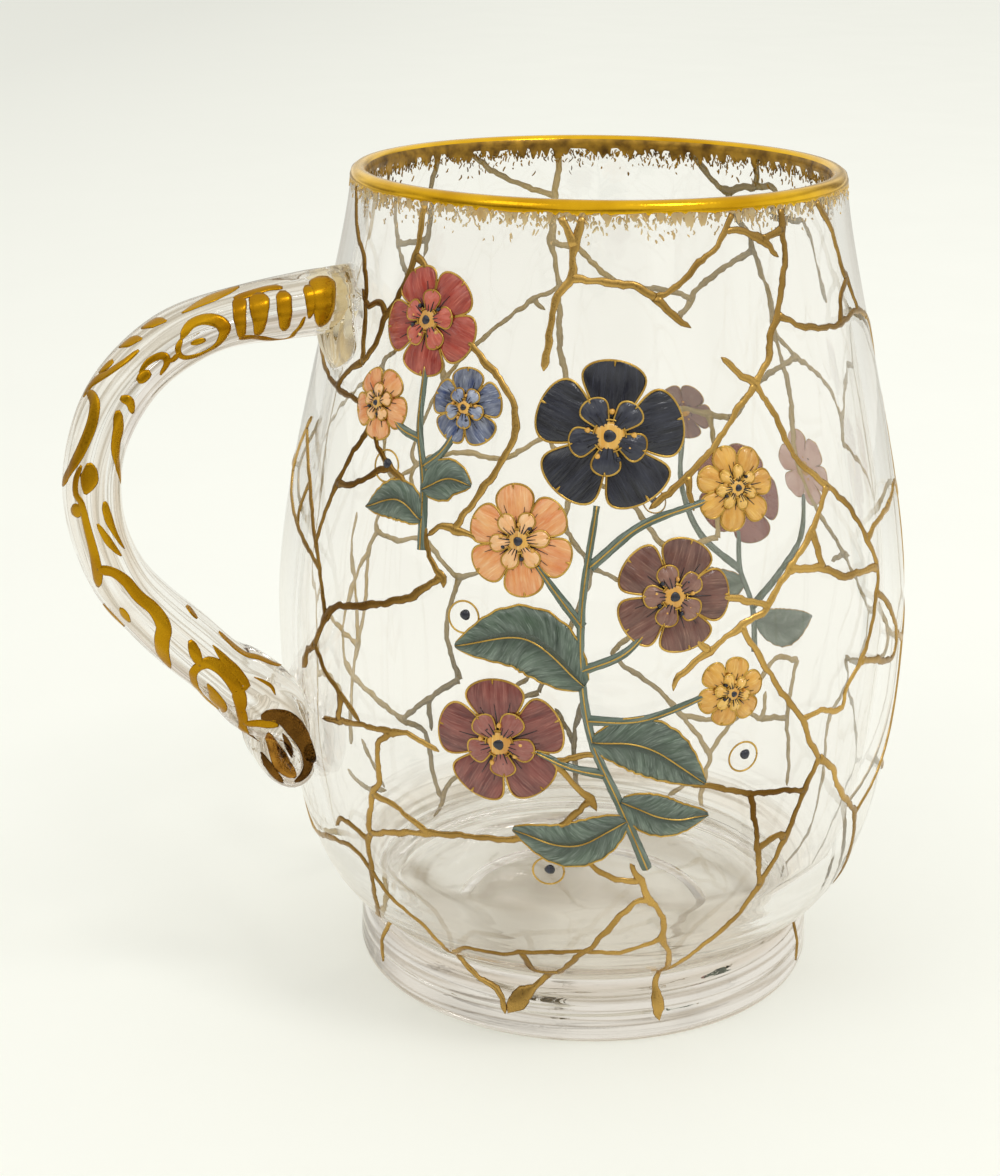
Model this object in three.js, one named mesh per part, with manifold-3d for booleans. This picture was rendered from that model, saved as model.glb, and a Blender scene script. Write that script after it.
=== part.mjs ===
// A clear glass mug: a blown barrel on a thick foot, a drawn handle, gilt veins and enamelled sprays.
// Millimetres, Z up. The origin is the middle of the flat underside, and the handle points along -X.
import * as THREE from "three";
import { mergeVertices } from "three/addons/utils/BufferGeometryUtils.js";
import Module from "manifold-3d";

const wasm = await Module();
wasm.setup();

// Driving dimensions of the glass
const GLASS_HEIGHT = 124.4;
const WALL_TOP = GLASS_HEIGHT - 0.6;
const RIM_RADIUS = 36;
const BELLY_RADIUS = 48;
const BELLY_HEIGHT = 58.3;
const WAIST_RADIUS = 36.2;
const WAIST_HEIGHT = 12;
const WAIST_INSET = 3;
const FOOT_RADIUS = 36;
const FOOT_EDGE = 1.2;
const FOOT_TOP = 4.7;
const BOWL_BOTTOM = 5;
const FLOOR_HEIGHT = 8.2;
const FLOOR_RADIUS = 25;
const FLOOR_TURN = 0.3;
const LOW_WALL = 3.2;
const LIP_WALL = 2.3;
const INSIDE_TURN = 26;
const LIP_ROUND = 0.5;
const WALL_STEPS = 5;
const SHOULDER_STEPS = 6;
const WAIST_STEPS = 4;
const AROUND = 36;

// Driving dimensions of the handle, whose section is an oval: thick in its plane, wide across it
const HANDLE_THICK = 8;
const HANDLE_WIDE = 11.5;
const HANDLE_TOP_THICK = 9.6;
const HANDLE_LOW_THICK = 9.8;
const HANDLE_STEPS = 28;
const HANDLE_SIDES = 12;
const CURL_RADIUS = 5.6;
const CURL_WIDE = HANDLE_WIDE + 1;
const CURL_SIDES = 20;
const CURL_CENTRE = [51.2, 41.2];
const PAD_TOP = 109;
const PAD_LOW = 98.6;
const PAD_THICK = 3.4;
const PAD_STEP = 4;
const PAD_TOP_WIDE = 11;
const PAD_LOW_WIDE = 6.5;

// Driving dimensions of the decoration
const GAP = 0.3;
const VEIN_WIDTH = 1.4;
const VEIN_THICK = 0.4;
const VEIN_THICK_STEP = 0.013;
const VEIN_THICK_STEPS = 7;
const VEIN_STEP = 6.5;
const VEIN_ROOM_WIDTH = 3.2;
const VEIN_ROOM_TOP = 1.1;
const GILT_TOP = 121;
const GILT_LOW = 5.6;
const RIM_BAND_LOW = 121.8;
const RIM_BAND_THICK = 0.35;
const SCROLL_WIDTH = 1.8;
const SCROLL_THICK = 0.4;
const SCROLL_STEP = 2.2;
const FLANK_EDGE = 0.98;
const ENAMEL_THICK = 1;
const ENAMEL_EDGE = 0.6;
const ENAMEL_STEP = 6;
const STEM_WIDTH = 1.4;
const PETAL_NOTCH = 0.25;
const HEART_SHARE = 0.1;
const PETAL_SHARE = 0.55;
const CORNERS_PER_PETAL = 3;

// Bearings are degrees round the mug, counted rightwards from the side that faces the viewer.
// The viewer's side lies this far from the handle's own side.
const FRONT_TURN = 24.5;
const HANDLE_BEARING = FRONT_TURN - 90;

const point = (r, z) => new THREE.Vector2(r, z);

// The outside of the glass from the top of the foot to the lip, as three curves
const waistCurve = new THREE.CubicBezierCurve(
  point(FOOT_RADIUS, BOWL_BOTTOM),
  point(35.7, 8),
  point(WAIST_RADIUS - WAIST_INSET, 10.3),
  point(WAIST_RADIUS, WAIST_HEIGHT),
);
const shoulderCurve = new THREE.CubicBezierCurve(
  point(WAIST_RADIUS, WAIST_HEIGHT),
  point(45.9, 17.5),
  point(BELLY_RADIUS, 39.8),
  point(BELLY_RADIUS, BELLY_HEIGHT),
);
const upperCurve = new THREE.CubicBezierCurve(
  point(BELLY_RADIUS, BELLY_HEIGHT),
  point(BELLY_RADIUS, 77.9),
  point(37, 111.1),
  point(RIM_RADIUS, WALL_TOP),
);
const outline = [waistCurve, shoulderCurve, upperCurve]
  .flatMap((curve) => curve.getPoints(80))
  .sort((a, b) => a.y - b.y);

function outsideRadius(height) {
  if (height <= outline[0].y) return FOOT_RADIUS;
  const above = outline.find((p) => p.y > height);
  if (!above) return RIM_RADIUS;
  const below = outline[outline.indexOf(above) - 1];
  const share = (height - below.y) / (above.y - below.y);
  return below.x + share * (above.x - below.x);
}

// The inside from the edge of the flat floor up to where the wall has its even thickness
const floorCurve = new THREE.CubicBezierCurve(
  point(FLOOR_RADIUS, FLOOR_HEIGHT + FLOOR_TURN),
  point(31, 9.2),
  point(36.2, 13),
  point(outsideRadius(INSIDE_TURN) - LOW_WALL, INSIDE_TURN),
);

// Revolves a profile of [radius, height] points about the Z axis.
function revolve(profile) {
  return new THREE.LatheGeometry(profile, AROUND).rotateX(Math.PI / 2);
}

function toSolid(geometry) {
  const bare = geometry.index ? geometry.toNonIndexed() : geometry.clone();
  bare.deleteAttribute("normal");
  bare.deleteAttribute("uv");
  const merged = mergeVertices(bare, 1e-4);
  return new wasm.Manifold(
    new wasm.Mesh({
      numProp: 3,
      vertProperties: merged.attributes.position.array,
      triVerts: new Uint32Array(merged.index.array),
    }),
  );
}

function toGeometry(solid) {
  const mesh = solid.getMesh();
  const geometry = new THREE.BufferGeometry();
  geometry.setAttribute("position", new THREE.BufferAttribute(mesh.vertProperties, 3));
  geometry.setIndex(new THREE.BufferAttribute(mesh.triVerts, 1));
  geometry.computeVertexNormals();
  return geometry;
}

function joined(geometries) {
  return geometries.map(toSolid).reduce((all, next) => all.add(next));
}

// A closed body from rings of points: each ring is joined to the next, and both ends are capped.
function skin(rings) {
  const count = rings[0].length;
  const positions = rings.flat().flatMap((p) => [p.x, p.y, p.z]);
  const faces = [];
  for (let i = 0; i + 1 < rings.length; i++) {
    for (let j = 0; j < count; j++) {
      const a = i * count + j;
      const b = i * count + ((j + 1) % count);
      faces.push(a, b, a + count, b, b + count, a + count);
    }
  }
  const last = (rings.length - 1) * count;
  for (let j = 1; j + 1 < count; j++) {
    faces.push(0, j + 1, j, last, last + j, last + j + 1);
  }
  const geometry = new THREE.BufferGeometry();
  geometry.setAttribute("position", new THREE.Float32BufferAttribute(positions, 3));
  geometry.setIndex(faces);
  return geometry;
}

// The outside of the mug as a surface: place(bearing, height, lift) and the millimetres per unit.
// On a mirrored surface the two directions turn the other way round, seen from outside.
const mugSurface = {
  mirrored: false,
  place(bearing, height, lift) {
    const angle = THREE.MathUtils.degToRad(bearing - 90 - FRONT_TURN);
    const radius = outsideRadius(height) + lift;
    return new THREE.Vector3(radius * Math.cos(angle), radius * Math.sin(angle), height);
  },
  scale(height) {
    const slope = outsideRadius(height + 0.5) - outsideRadius(height - 0.5);
    return [THREE.MathUtils.degToRad(outsideRadius(height)), Math.hypot(1, slope)];
  },
};

// Adds points so that no step along the route is longer than the given one.
function refined(surface, route, step) {
  const out = [route[0]];
  for (let i = 1; i < route.length; i++) {
    const [u0, v0] = route[i - 1];
    const [u1, v1] = route[i];
    const [su, sv] = surface.scale((v0 + v1) / 2);
    const pieces = Math.ceil(Math.hypot((u1 - u0) * su, (v1 - v0) * sv) / step);
    for (let k = 1; k <= pieces; k++) {
      out.push([u0 + ((u1 - u0) * k) / pieces, v0 + ((v1 - v0) * k) / pieces]);
    }
  }
  return out;
}

// Cross sections of a band, as [share of the half width, share of the thickness]
const RIDGE = [[-1, 0], [0, 1], [1, 0]];
const FLAT = [[-1, 1], [1, 1], [1, 0], [-1, 0]];
const LEAF = [[-1, 0.4], [0, 1], [1, 0.4], [1, 0], [-1, 0]];
const TONGUE = [[-1, 0.4], [0, 1], [1, 0.4], [1, 0], [0, 0], [-1, 0]];

// A raised band that lies on a surface along a route, with its width given for each share of its length.
function band(surface, route, { section, widthAt, thick, low = GAP, step }) {
  const path = refined(surface, route, step);
  const rings = path.map(([u, v], i) => {
    const [u0, v0] = path[Math.max(i - 1, 0)];
    const [u1, v1] = path[Math.min(i + 1, path.length - 1)];
    const [su, sv] = surface.scale(v);
    const along = new THREE.Vector2((u1 - u0) * su, (v1 - v0) * sv).normalize();
    const half = widthAt(i / (path.length - 1)) / 2;
    const ring = section.map(([side, rise]) => {
      const aside = half * side;
      return surface.place(u + (along.y * aside) / su, v - (along.x * aside) / sv, low + thick * rise);
    });
    return surface.mirrored ? ring.reverse() : ring;
  });
  return skin(rings);
}

// A flat flower head with lobed edges that lies on the mug, built ring by ring from its underside.
function rosette({ at, radius, petals }) {
  const [bearing, height] = at;
  const [su, sv] = mugSurface.scale(height);
  const corners = petals * CORNERS_PER_PETAL;
  const ring = (share, lift) => {
    const points = [];
    for (let k = 0; k < corners; k++) {
      const angle = (2 * Math.PI * k) / corners;
      const lobe = share < 1 ? share : 1 - PETAL_NOTCH * Math.cos((petals * angle) / 2) ** 2;
      const across = radius * lobe * Math.cos(angle);
      const up = radius * lobe * Math.sin(angle);
      points.push(mugSurface.place(bearing + across / su, height + up / sv, lift));
    }
    return points;
  };
  const top = GAP + ENAMEL_THICK;
  const edge = GAP + ENAMEL_EDGE;
  const underside = [HEART_SHARE, PETAL_SHARE, 1].map((share) => ring(share, GAP));
  return skin([...underside, ring(1, edge), ring(PETAL_SHARE, top), ring(HEART_SHARE, top)]);
}

// The veins: each route is a list of [bearing, height] places, and routes of one network share junctions.
const VEINS_LEFT = [
  [[-40, GILT_TOP], [-41, 116], [-44, 110.5], [-47, 107.5], [-49, 103], [-52, 100.5]],
  [[-47, 107.5], [-50, 109], [-54, 108]],
  [[-41, 116], [-33, 112], [-26, 106.5], [-16, 100], [-14, 96], [-17, 90], [-22, 84], [-24, 81.5]],
  [[-29, 78.5], [-27, 81.5], [-24, 81.5], [-18, 80.5]],
  [[-71, GILT_TOP], [-66, 117.5], [-60, 114.5], [-54, 108], [-52, 100.5]],
  [[-79, 98.5], [-72, 96.5], [-66, 95], [-60, 94.5], [-52, 95.5], [-45.5, 93], [-39, 88]],
  [[-39, 88], [-33, 85], [-30, 81], [-29, 78.5], [-27, 76], [-25, 73.5]],
  [[-60, 94.5], [-56, 98.5], [-52, 100.5]],
  [[-25, 73.5], [-31, 71.5], [-37, 69.5], [-48, 67], [-51.5, 64.5], [-55, 59.5]],
  [[-45.5, 93], [-50, 88], [-53, 83.5], [-57, 75.5], [-55, 71], [-51.5, 64.5]],
  [[-53, 83.5], [-49, 84], [-39, 88]],
  [[-79, 98.5], [-72, 90], [-79, 81], [-76, 77.5], [-67, 74.5], [-55, 71]],
  [[-72, 90], [-64, 81.5], [-57, 75.5]],
  [[-67, 74.5], [-67, 77.5], [-64, 81.5]],
  [[-55, 59.5], [-58, 57.5], [-60, 54.5]],
  [[-55, 59.5], [-51, 56], [-47, 54], [-42, 51]],
  [[-47, 54], [-48, 49.5]],
  [[-53, 48.5], [-48, 49.5], [-35, 51], [-25, 50]],
];
const VEINS_LOWER = [
  [
    [-37, 49.3], [-38, 43], [-40, 40], [-42, 33], [-43, 31.5], [-44, 26], [-48, 17.5], [-60, 8],
    [-60, GILT_LOW],
  ],
  [[-40, 40], [-35, 39.5], [-28, 36.5]],
  [[-42, 33], [-35, 35], [-28, 36.5], [-13, 38], [-4, 40.5], [1, 45]],
  [[-4, 40.5], [-1, 37.5], [3, 33.5], [10, 32]],
  [[-59, 27], [-54, 28], [-48, 28.5], [-44, 26]],
  [[-53, 31], [-50, 33], [-43, 31.5]],
  [[-44, 26], [-40, 22], [-34, 19], [-32, 11.5], [-28, 9], [-21, 7.5], [-18, GILT_LOW]],
  [[8, 35], [10, 32], [12, 28.5], [15, 25], [15.5, 21], [18, 17], [19, 12], [18.5, 8], [19, GILT_LOW]],
  [[12, 28.5], [9, 28], [4, 22.5], [0, 18.8], [-5, 13], [-10, 9.5], [-15, 7.2], [-18, GILT_LOW]],
  [[-32, 11.5], [-25, 16], [-12, 17.7], [0, 18.8], [9, 19], [15.5, 21]],
  [[-12, 17.7], [-10, 12.5], [-5, 13]],
  [[-15, 60], [-7, 52], [-5, 50.5], [-3, 48.5], [1, 45], [2, 43.5]],
  [[-5, 50.5], [-2, 51.5], [6, 51]],
];
const VEINS_UPPER = [
  [[29.5, GILT_TOP], [26, 119], [20, 116], [12, 112.5]],
  [[12, 112.5], [8, 114], [2, 114.5], [-5, 115]],
  [[12, 112.5], [15, 110.5], [19, 108.5]],
  [[-3, GILT_TOP], [-4.5, 119], [-5, 115], [-8, 112], [-9, 106], [-10, 102]],
  [[-7.5, GILT_TOP], [-4.5, 119]],
  [[26, 119], [31, 120.5], [37, 119], [41, 116.5]],
  [[37, 119], [43, 120]],
  [[43, GILT_TOP], [43, 120], [43, 116], [40, 109], [36, 104], [32, 100.5]],
  [[40, 109], [46, 107], [60, 106], [71, 106.5], [78, 105]],
  [[56, GILT_TOP], [62, 118.5], [67, 111.5], [62, 109.5], [60, 106]],
  [[67, 111.5], [71, 106.5]],
];
const VEINS_RIGHT = [
  [[25, 104.5], [30, 100.2], [36, 96], [39, 91], [47, 85.5], [53, 81.5], [58, 76], [61, 71.5], [57, 62.5]],
  [[57, 62.5], [54, 59], [50, 56], [49, 53], [39, 53.5]],
  [[32, 99], [27, 97], [23, 93.5], [17, 89.5], [10, 85.5]],
  [[17, 89.5], [18, 85]],
  [[47, 85.5], [42, 80], [36, 75.5], [31, 71]],
  [[42, 80], [44, 74.5]],
  [[36, 75.5], [44, 74.5], [49, 72.5], [61, 71.5]],
  [[58, 76], [62, 77.5], [70, 78.5]],
  [[60.3, 69.5], [65, 65], [71, 59], [66, 56], [54, 59]],
  [[8, 77], [10, 75], [18, 73.5], [24, 73], [31, 71], [26, 69], [20, 66], [15, 63], [14, 61]],
  [[18, 73.5], [17, 69.5], [20, 66]],
  [[26, 69], [30, 63.5], [34, 58.5], [39, 53.5], [44, 46.5]],
  [[44, 46.5], [41, 42], [38, 35], [34, 28], [30, 22.5], [21, 14]],
  [[44, 46.5], [48, 44], [51, 40], [60, 33]],
  [[10, 49.5], [15, 47.5], [29, 44], [41, 42]],
  [[29, 44], [32, 34.5], [34, 28]],
  [[32, 34.5], [36, 36], [38, 35]],
  [[60, 33], [66, 24], [72, 15], [71.5, 8], [71, GILT_LOW]],
];
const VEINS_SIDE = [
  [[80, 105], [86, 102], [92, 96], [100, 94], [109, 84]],
  [[72, 79], [80, 80], [88, 76], [96, 78], [110, 80]],
  [[92, 96], [90, 86], [88, 76], [87, 67], [88, 60]],
  [[73, 59], [80, 56], [88, 60], [96, 55], [105, 57], [113, 60]],
  [[96, 55], [98, 46], [107, 43]],
  [[62, 33.5], [72, 38], [80, 46], [80, 56]],
  [[72, 38], [84, 33], [94, 36], [105, 39.5], [107, 43]],
  [[84, 33], [86, 24], [80, 16], [81, 8]],
  [[105, 39.5], [110, 31.5], [104, 22], [96, 14], [94, GILT_LOW]],
  [[135.5, GILT_TOP], [136, 118.5], [129, 118.5], [128, 114.5], [114, 114.5], [110, 109], [108, 103]],
  [[108, 103], [100, 94]],
  [[155, GILT_TOP], [149, 118.5], [145, 117], [141, 118], [136, 118.5]],
  [[145, 117], [142, 113.5], [138, 110], [133, 100], [133, 94.5], [130, 85.5], [130, 75.5], [128, 70]],
  [[133, 94.5], [126, 91.5], [119, 90], [113, 88], [109, 84], [110, 80]],
  [[126, 91.5], [134, 88], [141, 84], [148, 77.5]],
  [[128, 70], [122, 64.5], [113, 60], [107, 43]],
];
const VEINS_BACK = [
  [[138.5, 107.5], [148, 103.5], [156, 98], [160, 94]],
  [[191.5, 107], [184, 105.5], [179, 102], [173, 99.5], [162, 99], [156, 98]],
  [[190, GILT_TOP], [191, 115], [191.5, 107], [189, 99], [188, 88], [186, 80], [190, 72], [184, 64]],
  [[184, 64], [186, 55], [180, 47], [183, 38], [188, 30], [192, 21], [183, 13], [182, GILT_LOW]],
  [[216, GILT_TOP], [207, 119], [198, 116.5], [191, 115]],
  [[189, 99], [195, 97], [200, 94.5], [208, 90], [216, 84], [223, 73]],
  [[186, 80], [176, 75], [168, 74], [161, 77.5], [150, 77.5]],
  [[161, 77.5], [152, 72.5], [151, 62]],
  [[184, 64], [172, 60], [163, 52], [151, 55], [151, 62]],
  [[190, 72], [200, 68], [210, 70], [222, 69]],
  [[186, 55], [198, 50], [210, 47], [219, 55], [226, 56], [233, 59]],
  [[163, 52], [160, 42], [168, 36], [174, 31], [165, 26.5], [156, 22], [146, 16], [141, GILT_LOW]],
  [[180, 47], [170, 44], [160, 42]],
  [[156, 22], [147, 22.5], [137, 29.5], [134, 36], [126, 37.5], [126, 27.5], [118, 17.5]],
  [[210, 47], [214, 38], [212, 28]],
  [[223, 73], [222, 69], [222, 63], [219, 55]],
  [[226, GILT_TOP], [228, 116], [228, 109.5], [226, 103], [230, 98]],
  [[228, 109.5], [234, 109.5], [240, 110]],
  [[248, GILT_TOP], [244, 115], [240, 110], [234, 104.5], [230, 98], [232, 92], [237, 89.5]],
  [[230, 98], [222, 95], [216, 84]],
  [[237, 89.5], [233, 82], [232, 72], [227, 67], [222, 63]],
  [[233, 59], [231, 63], [227, 67]],
  [[233, 59], [236, 56], [238, 47], [242, 40.5], [245, 35], [240, 32], [230, 25], [224, 19], [227, 8]],
  [[236, 56], [242, 53], [248, 44.5], [242, 40.5]],
  [[257, 55.5], [255, 50], [248, 44.5]],
  [[230, 25], [221, 26.5], [212, 28], [202, 22.5], [192, 21]],
  [[245, 35], [251, 25.5], [245, 17], [246, 6]],
  [[237, 89.5], [248, 88], [256, 85], [264, 84]],
  [[257, 55.5], [264, 54], [270, 58], [273, 65], [271, 74], [272, 80], [264, 84], [262, 94], [266, 104]],
  [[266, 104], [261, 112], [263, GILT_TOP]],
  [[264, 54], [270, 43], [277, 34], [280, 26]],
  [[270, 43], [260, 40], [251, 25.5]],
];

// The enamel: each spray has stems and leaves that touch, and blooms that stand clear of them
const FRONT_STEMS = [
  [[11, 34], [6, 44], [1, 54], [-1, 64], [-1, 74], [1, 83.5]],
  [[3, 49], [-2.5, 50]],
  [[-1, 70], [-6, 73.8]],
  [[-1, 64], [6.5, 67.3]],
  [[0, 57], [9, 57], [17, 59]],
  [[0, 78], [9, 83.5], [18, 85.8]],
];
const FRONT_LEAVES = [
  { route: [[-0.5, 62], [-10, 68], [-22, 66]], width: 9 },
  { route: [[1, 54], [10, 53], [20, 47]], width: 8 },
  { route: [[7, 42], [-2, 38], [-12, 40]], width: 7 },
  { route: [[6, 45], [14, 42], [21, 42]], width: 6 },
];
const LEFT_STEMS = [
  [[-30, 78], [-31, 87], [-33.5, 94], [-34, 99.3]],
  [[-31.5, 89], [-28, 91.3], [-26.5, 91.6]],
  [[-33, 92.5], [-37.3, 93.3]],
];
const LEFT_LEAVES = [
  { route: [[-31, 86], [-26, 88], [-21.5, 87.5]], width: 5.5 },
  { route: [[-30.5, 82], [-36, 84], [-43, 82]], width: 5.5 },
];
const BACK_STEMS = [
  [[139, 36], [141, 44], [145, 50], [146, 54.3]],
  [[141, 44], [134, 52], [129, 59], [128, 64.8]],
  [[145, 50], [155, 55], [160, 64], [159.5, 71.5]],
];
const BACK_LEAVES = [
  { route: [[144, 48], [152, 46], [162, 48]], width: 6.5 },
  { route: [[140, 42], [132, 42], [124, 46]], width: 6.5 },
];
const BLOOMS = {
  front_spray_dark_bloom: { at: [3, 95], radius: 10, petals: 5, color: 0x16161f },
  front_spray_peach_bloom: { at: [-12, 81], radius: 7.5, petals: 6, color: 0xe39a5e },
  front_spray_brown_bloom: { at: [14, 74], radius: 8, petals: 5, color: 0x6d4034 },
  front_spray_maroon_bloom: { at: [-14, 53], radius: 9, petals: 5, color: 0x7d3a31 },
  front_spray_gold_bloom: { at: [26, 87.5], radius: 5.8, petals: 7, color: 0xdca53c },
  front_spray_yellow_bloom: { at: [24, 60], radius: 5, petals: 6, color: 0xe0b055 },
  left_spray_red_bloom: { at: [-34.5, 108], radius: 7.5, petals: 5, color: 0xa3392b },
  left_spray_blue_bloom: { at: [-24, 97.5], radius: 5.2, petals: 5, color: 0x2f4270 },
  left_spray_peach_bloom: { at: [-44, 96], radius: 5, petals: 5, color: 0xe9b183 },
  back_spray_maroon_bloom: { at: [146, 64], radius: 9, petals: 5, color: 0x6e2b2e },
  back_spray_pink_bloom: { at: [127, 72], radius: 6.5, petals: 6, color: 0xc99a90 },
  back_spray_brown_bloom: { at: [159, 77.5], radius: 5, petals: 5, color: 0x76503f },
};

// Each vein is a little thicker than the one before it, so that no two faces lie in one plane.
function veinNetwork(routes) {
  const veins = routes.map((route, i) =>
    band(mugSurface, route, {
      section: RIDGE,
      widthAt: () => VEIN_WIDTH,
      thick: VEIN_THICK + VEIN_THICK_STEP * (i % VEIN_THICK_STEPS),
      step: VEIN_STEP,
    }),
  );
  return joined(veins);
}

// The room that an enamel piece leaves round the veins it crosses
function roomForVeins(routes) {
  const rooms = routes.map((route) =>
    band(mugSurface, route, {
      section: RIDGE,
      widthAt: () => VEIN_ROOM_WIDTH,
      thick: VEIN_ROOM_TOP,
      low: 0,
      step: VEIN_STEP,
    }),
  );
  return joined(rooms);
}

function leafBand({ route, width }) {
  const widthAt = (share) => width * Math.sin(Math.PI * (0.06 + 0.9 * share)) ** 0.8;
  return band(mugSurface, route, { section: LEAF, widthAt, thick: ENAMEL_THICK, step: ENAMEL_STEP });
}

function stemBand(route) {
  const widthAt = () => STEM_WIDTH;
  return band(mugSurface, route, { section: RIDGE, widthAt, thick: ENAMEL_THICK, step: ENAMEL_STEP });
}

function foliage(stems, leaves) {
  return joined([...stems.map(stemBand), ...leaves.map(leafBand)]);
}

function foot() {
  const profile = [
    point(0, 0),
    point(FOOT_RADIUS - FOOT_EDGE, 0),
    point(FOOT_RADIUS - 0.35 * FOOT_EDGE, 0.35 * FOOT_EDGE),
    point(FOOT_RADIUS, FOOT_EDGE),
    point(FOOT_RADIUS, FOOT_TOP),
    point(0, FOOT_TOP),
  ];
  return revolve(profile);
}

function bowl() {
  const inside = [];
  for (let k = WALL_STEPS; k > 0; k--) {
    const share = k / WALL_STEPS;
    const height = INSIDE_TURN + share * (GLASS_HEIGHT - 2 * LIP_ROUND - INSIDE_TURN);
    const wall = LOW_WALL + share * (LIP_WALL - LOW_WALL);
    inside.push(point(outsideRadius(height) - wall, height));
  }
  const lip = [
    point(RIM_RADIUS - LIP_ROUND, GLASS_HEIGHT),
    point(RIM_RADIUS - LIP_WALL + LIP_ROUND, GLASS_HEIGHT),
  ];
  const profile = [
    point(0, BOWL_BOTTOM),
    ...waistCurve.getPoints(WAIST_STEPS),
    ...shoulderCurve.getPoints(SHOULDER_STEPS).slice(1),
    ...upperCurve.getPoints(WALL_STEPS).slice(1),
    ...lip,
    ...inside,
    ...floorCurve.getPoints(WAIST_STEPS).reverse(),
    point(0, FLOOR_HEIGHT),
  ];
  return revolve(profile);
}

// A thin band of gold that wraps the lip, open below
function rimBand() {
  const outer = outsideRadius(RIM_BAND_LOW) + GAP;
  const inner = RIM_RADIUS - LIP_WALL - GAP;
  const top = GLASS_HEIGHT + GAP;
  const thick = RIM_BAND_THICK;
  const profile = [
    point(outer + thick, RIM_BAND_LOW),
    point(outer + thick, top),
    point(outer, top + thick),
    point(inner, top + thick),
    point(inner - thick, top),
    point(inner - thick, RIM_BAND_LOW),
    point(inner, RIM_BAND_LOW),
    point(inner, top),
    point(outer, top),
    point(outer, RIM_BAND_LOW),
    point(outer + thick, RIM_BAND_LOW),
  ];
  return revolve(profile);
}

// The handle's centre line in its own plane, as [distance from the axis, height]
const HANDLE_LINE = [
  [34, 107.8],
  [46, 107.2],
  [58.5, 105.5],
  [66.3, 102],
  [72.3, 96],
  [75.8, 88],
  [76.2, 79.5],
  [73.6, 71],
  [68.8, 64.4],
  [59, 54.7],
  [52, 46.5],
  CURL_CENTRE,
];
const handleCurve = new THREE.CatmullRomCurve3(
  HANDLE_LINE.map(([out, height]) => new THREE.Vector3(-out, 0, height)),
  false,
  "centripetal",
);
const across = new THREE.Vector3(0, 1, 0);

function handleFrame(share) {
  const middle = handleCurve.getPointAt(share);
  const along = handleCurve.getTangentAt(share);
  const outward = new THREE.Vector3(along.z, 0, -along.x);
  const ease = (x) => THREE.MathUtils.smoothstep(x, 0, 1);
  const topSwell = (HANDLE_TOP_THICK - HANDLE_THICK) * (1 - ease(share / 0.25));
  const lowSwell = (HANDLE_LOW_THICK - HANDLE_THICK) * ease((share - 0.65) / 0.3);
  const thick = HANDLE_THICK + topSwell + lowSwell;
  const wide = HANDLE_WIDE + topSwell + 0.5 * lowSwell;
  return { middle, along, outward, thick, wide };
}

function handle() {
  const rings = [];
  for (let i = 0; i <= HANDLE_STEPS; i++) {
    const { middle, outward, thick, wide } = handleFrame(i / HANDLE_STEPS);
    const ring = [];
    for (let k = 0; k < HANDLE_SIDES; k++) {
      const angle = (2 * Math.PI * k) / HANDLE_SIDES;
      ring.push(
        middle
          .clone()
          .addScaledVector(outward, (thick / 2) * Math.cos(angle))
          .addScaledVector(across, (wide / 2) * Math.sin(angle)),
      );
    }
    rings.push(ring);
  }
  const curl = new THREE.CylinderGeometry(CURL_RADIUS, CURL_RADIUS, CURL_WIDE, CURL_SIDES);
  curl.translate(-CURL_CENTRE[0], 0, CURL_CENTRE[1]);
  const padRoute = [
    [HANDLE_BEARING, PAD_TOP],
    [HANDLE_BEARING + 0.5, 104],
    [HANDLE_BEARING + 2, PAD_LOW],
  ];
  const pad = band(mugSurface, padRoute, {
    section: TONGUE,
    widthAt: (share) => PAD_TOP_WIDE + share * (PAD_LOW_WIDE - PAD_TOP_WIDE),
    thick: PAD_THICK,
    low: 0,
    step: PAD_STEP,
  });
  const room = toSolid(revolve(wallProfile(GAP)));
  return joined([skin(rings), curl, pad]).subtract(room);
}

// The solid shape of the mug's outside, grown by the given gap
function wallProfile(grown) {
  const wall = [
    ...shoulderCurve.getPoints(SHOULDER_STEPS),
    ...upperCurve.getPoints(SHOULDER_STEPS).slice(1),
  ];
  return [
    point(0, WAIST_HEIGHT),
    ...wall.map((p) => point(p.x + grown, p.y)),
    point(0, WALL_TOP),
  ];
}

// One flank of the handle as a surface: places are [distance along the centre line, distance outwards].
function flankSurface(side) {
  const length = handleCurve.getLength();
  return {
    mirrored: side < 0,
    place(distance, outwards, lift) {
      const { middle, outward, thick, wide } = handleFrame(distance / length);
      const [a, b] = [thick / 2, wide / 2];
      const sine = Math.max(-FLANK_EDGE, Math.min(FLANK_EDGE, outwards / a));
      const cosine = Math.sqrt(1 - sine * sine);
      const normal = new THREE.Vector2(sine / a, cosine / b).normalize();
      return middle
        .clone()
        .addScaledVector(outward, a * sine + lift * normal.x)
        .addScaledVector(across, side * (b * cosine + lift * normal.y));
    },
    scale: () => [1, 1],
  };
}

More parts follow.
